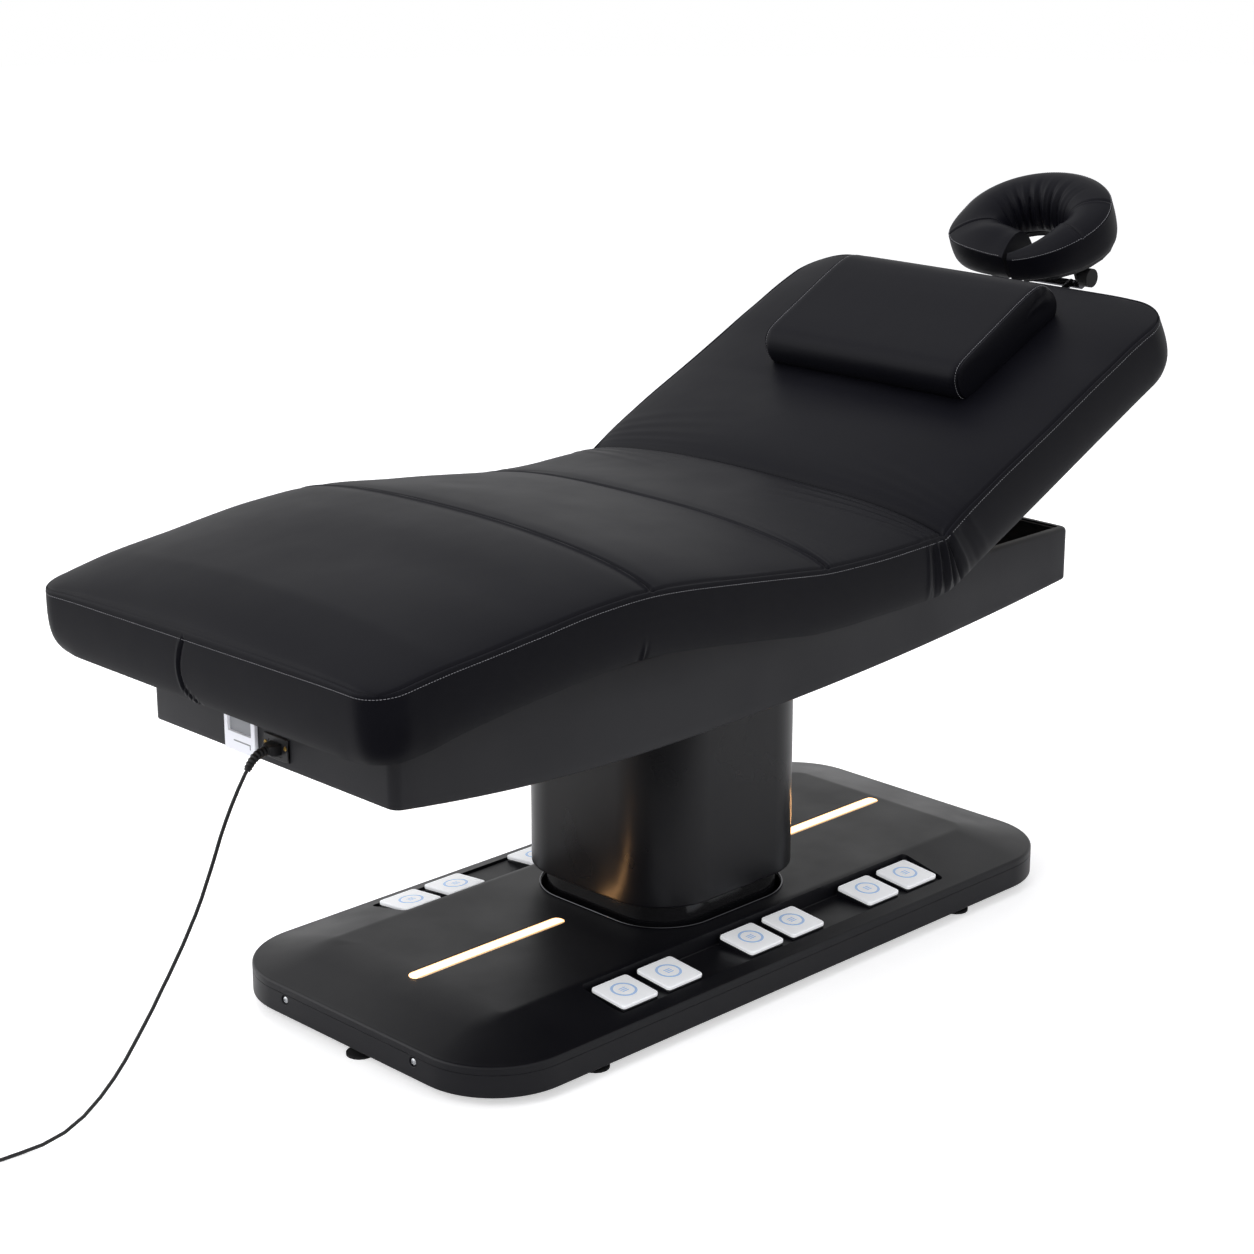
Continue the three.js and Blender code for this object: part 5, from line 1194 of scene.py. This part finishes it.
def long_plan(inset, count=40):
    """The tray's plan, a rounded rectangle with extra points along its long sides."""
    loop = rounded_rectangle(TRAY_HALF_LONG - inset, TRAY_HALF_WIDE - inset, 16 - min(inset, 12), 5)
    loop = loop + (TRAY_MIDDLE, 0)
    far_side, near_side = (np.linspace(loop[k], loop[k + 1], count)[1:-1] for k in (5, 17))
    return np.concatenate([loop[:6], far_side, loop[6:18], near_side, loop[18:]])


rows = []
for inset, drop in ((20, 3), (14, 3), (14, 0), (7, 0.2), (3.5, 1.2), (1.2, 3.4), (0, 7)):
    loop = long_plan(inset)
    rows.append(np.column_stack([loop, np.full(len(loop), TRAY_TOP - drop)]))
for inset, rise in ((0, 90), (0, 50), (0, 20), (0, 5), (0.4, 3), (1.5, 1.4), (3.2, 0.4), (5, 0), (60, 0),
                    (140, 0), (220, 0), (278, 0)):
    loop = long_plan(inset)
    low = keel(loop[:, 0])
    rows.append(np.column_stack([loop, low + rise * np.clip((560 - low) / 88, 0.4, 1)]))
inside = [np.column_stack([loop, keel(loop[:, 0]) + 3]) for loop in map(long_plan, (277, 220, 140, 60, 8))]
loop = long_plan(3)
wall = [np.column_stack([loop, np.full(len(loop), z)]) for z in (560, 622)]
tray = loft("tray_pressing", metres(rows + inside + wall), "tray_paint", "lift", closed=True, sharp=40)
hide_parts("tray")
print("tray", len(tray.data.polygons), "faces")

# %% [markdown]
# ## The service panel and the mains inlet
# A white moulded frame with a grey window and two slots, let into the foot end of the tray. Beside it the
# black ring of the inlet carries two brass screws.


# %% Panel and inlet
def end_ring(x, y, z, half_y, half_z, radius, steps=5):
    """A rounded rectangle facing along x."""
    loop = rounded_rectangle(half_y, half_z, radius, steps)
    return np.column_stack([np.full(len(loop), x), y + loop[:, 0], z + loop[:, 1]])


def end_loft(name, y, z, slot, rings, closed=False):
    """A piece on the end face: one (x, half width, half height, corner radius) for each ring."""
    rows = [end_ring(x, y, z, *sizes) for x, *sizes in rings]
    return loft(name, metres(rows), slot, "lift", closed=closed)


PANEL_Y, PANEL_Z, WINDOW_Z = 58, 553, 563
frame_rows = [end_ring(x, PANEL_Y, PANEL_Z, *sizes)
              for x, *sizes in ((-806.3, 36, 39, 3), (-811.4, 36, 39, 3), (-812.3, 35.2, 38.2, 2.4))]
frame_rows += [end_ring(x, PANEL_Y, WINDOW_Z, *sizes)
               for x, *sizes in ((-812.3, 27.5, 20, 2), (-808.6, 26.8, 19.3, 2), (-806.3, 26.8, 19.3, 2))]
panel = loft("panel_frame", metres(frame_rows), "panel_plastic", "lift", closed=True)
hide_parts("service_panel")
window_rows = [end_ring(-806.3, PANEL_Y, WINDOW_Z, 27, 19.6, 2),
               end_ring(-808.0, PANEL_Y, WINDOW_Z, 27, 19.6, 2),
               end_ring(-808.8, PANEL_Y, WINDOW_Z - 1, 24.5, 16, 2)]
loft("panel_window", metres(window_rows), "actuator_plastic", "lift")
for name, y, z, wide, tall in (("long", 52, 531, 20, 1.1), ("short", 33.1, 528, 1.1, 4.0)):
    end_loft(f"panel_slot_{name}", y, z, "actuator_plastic",
             ((-811, wide, tall, 1), (-812.35, wide, tall, 1), (-812.6, wide - 0.3, tall - 0.3, 0.7)))
inlet = end_loft("inlet_ring", INLET_Y, INLET_Z, "black_plastic", (
    (-805.8, 28, 18, 8), (-809.0, 28, 18, 8), (-810.0, 27, 17, 7), (-810.0, 16.4, 12.2, 4),
    (-805.8, 15.6, 11.4, 4)), closed=True)
end_loft("inlet_well", INLET_Y, INLET_Z, "black_plastic", ((-805.4, 20, 15, 4), (-806.2, 20, 15, 4)))
inlet_stations = ((-809.6, 3.4), (-810.6, 3.4), (-811.4, 2.8), (-811.7, 1.6), (-811.0, 1.2))
for number, offset in enumerate((-22.5, 22.5)):
    rows = discs(INLET_Y + offset, INLET_Z + 4, inlet_stations)
    screw = loft(f"inlet_screw_{number + 1}", metres(rows), "bright_steel", "lift")
    screw.data.materials.append(brass)
print("panel", panel.name, "inlet", inlet.name)

# %% Two rings on the pillow's side
ring = np.arange(24) / 24 * 2 * math.pi
for number, (along, up_there) in enumerate(((515, 130), (541.5, 132.4))):
    path = np.stack([along + 4.2 * np.cos(ring), np.full(24, -222.5), up_there + 4.2 * np.sin(ring)], axis=1)
    around = np.arange(8) / 8 * 2 * math.pi
    wire = np.stack([path[:, None, 0] + 0.8 * np.cos(around) * np.cos(ring)[:, None],
                     path[:, None, 1] + 0.8 * np.sin(around) * np.ones((24, 1)),
                     path[:, None, 2] + 0.8 * np.cos(around) * np.sin(ring)[:, None]], axis=-1)
    loft(f"pillow_eyelet_{number + 1}", on_back(*np.moveaxis(wire, -1, 0)), "trim_chrome", "pillow",
         closed=True, sharp=60)
print("eyelets", 2)

# %% [markdown]
# ## Finishes on the new pieces
# A piece that has no material of its own takes the finish of its slot, as the CAD parts did.

# %% Dress the new pieces
for made in bpy.data.objects:
    slot = made.get("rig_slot")
    if made.type == "MESH" and slot and not made.data.materials and slot in finishes:
        made.data.materials.append(finishes[slot])
bare = [o.name for o in bpy.data.objects if o.type == "MESH" and not o.data.materials]
print("without a finish:", bare)

# %% [markdown]
# ## The box of the dressed model
# The box of every shown piece, the studio left out, is printed. The dressed model may stand only
# a little proud of the CAD model.

# %% Sizes and finish
low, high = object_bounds()
print("visual box", [round(v, 3) for v in (*low, *high)])
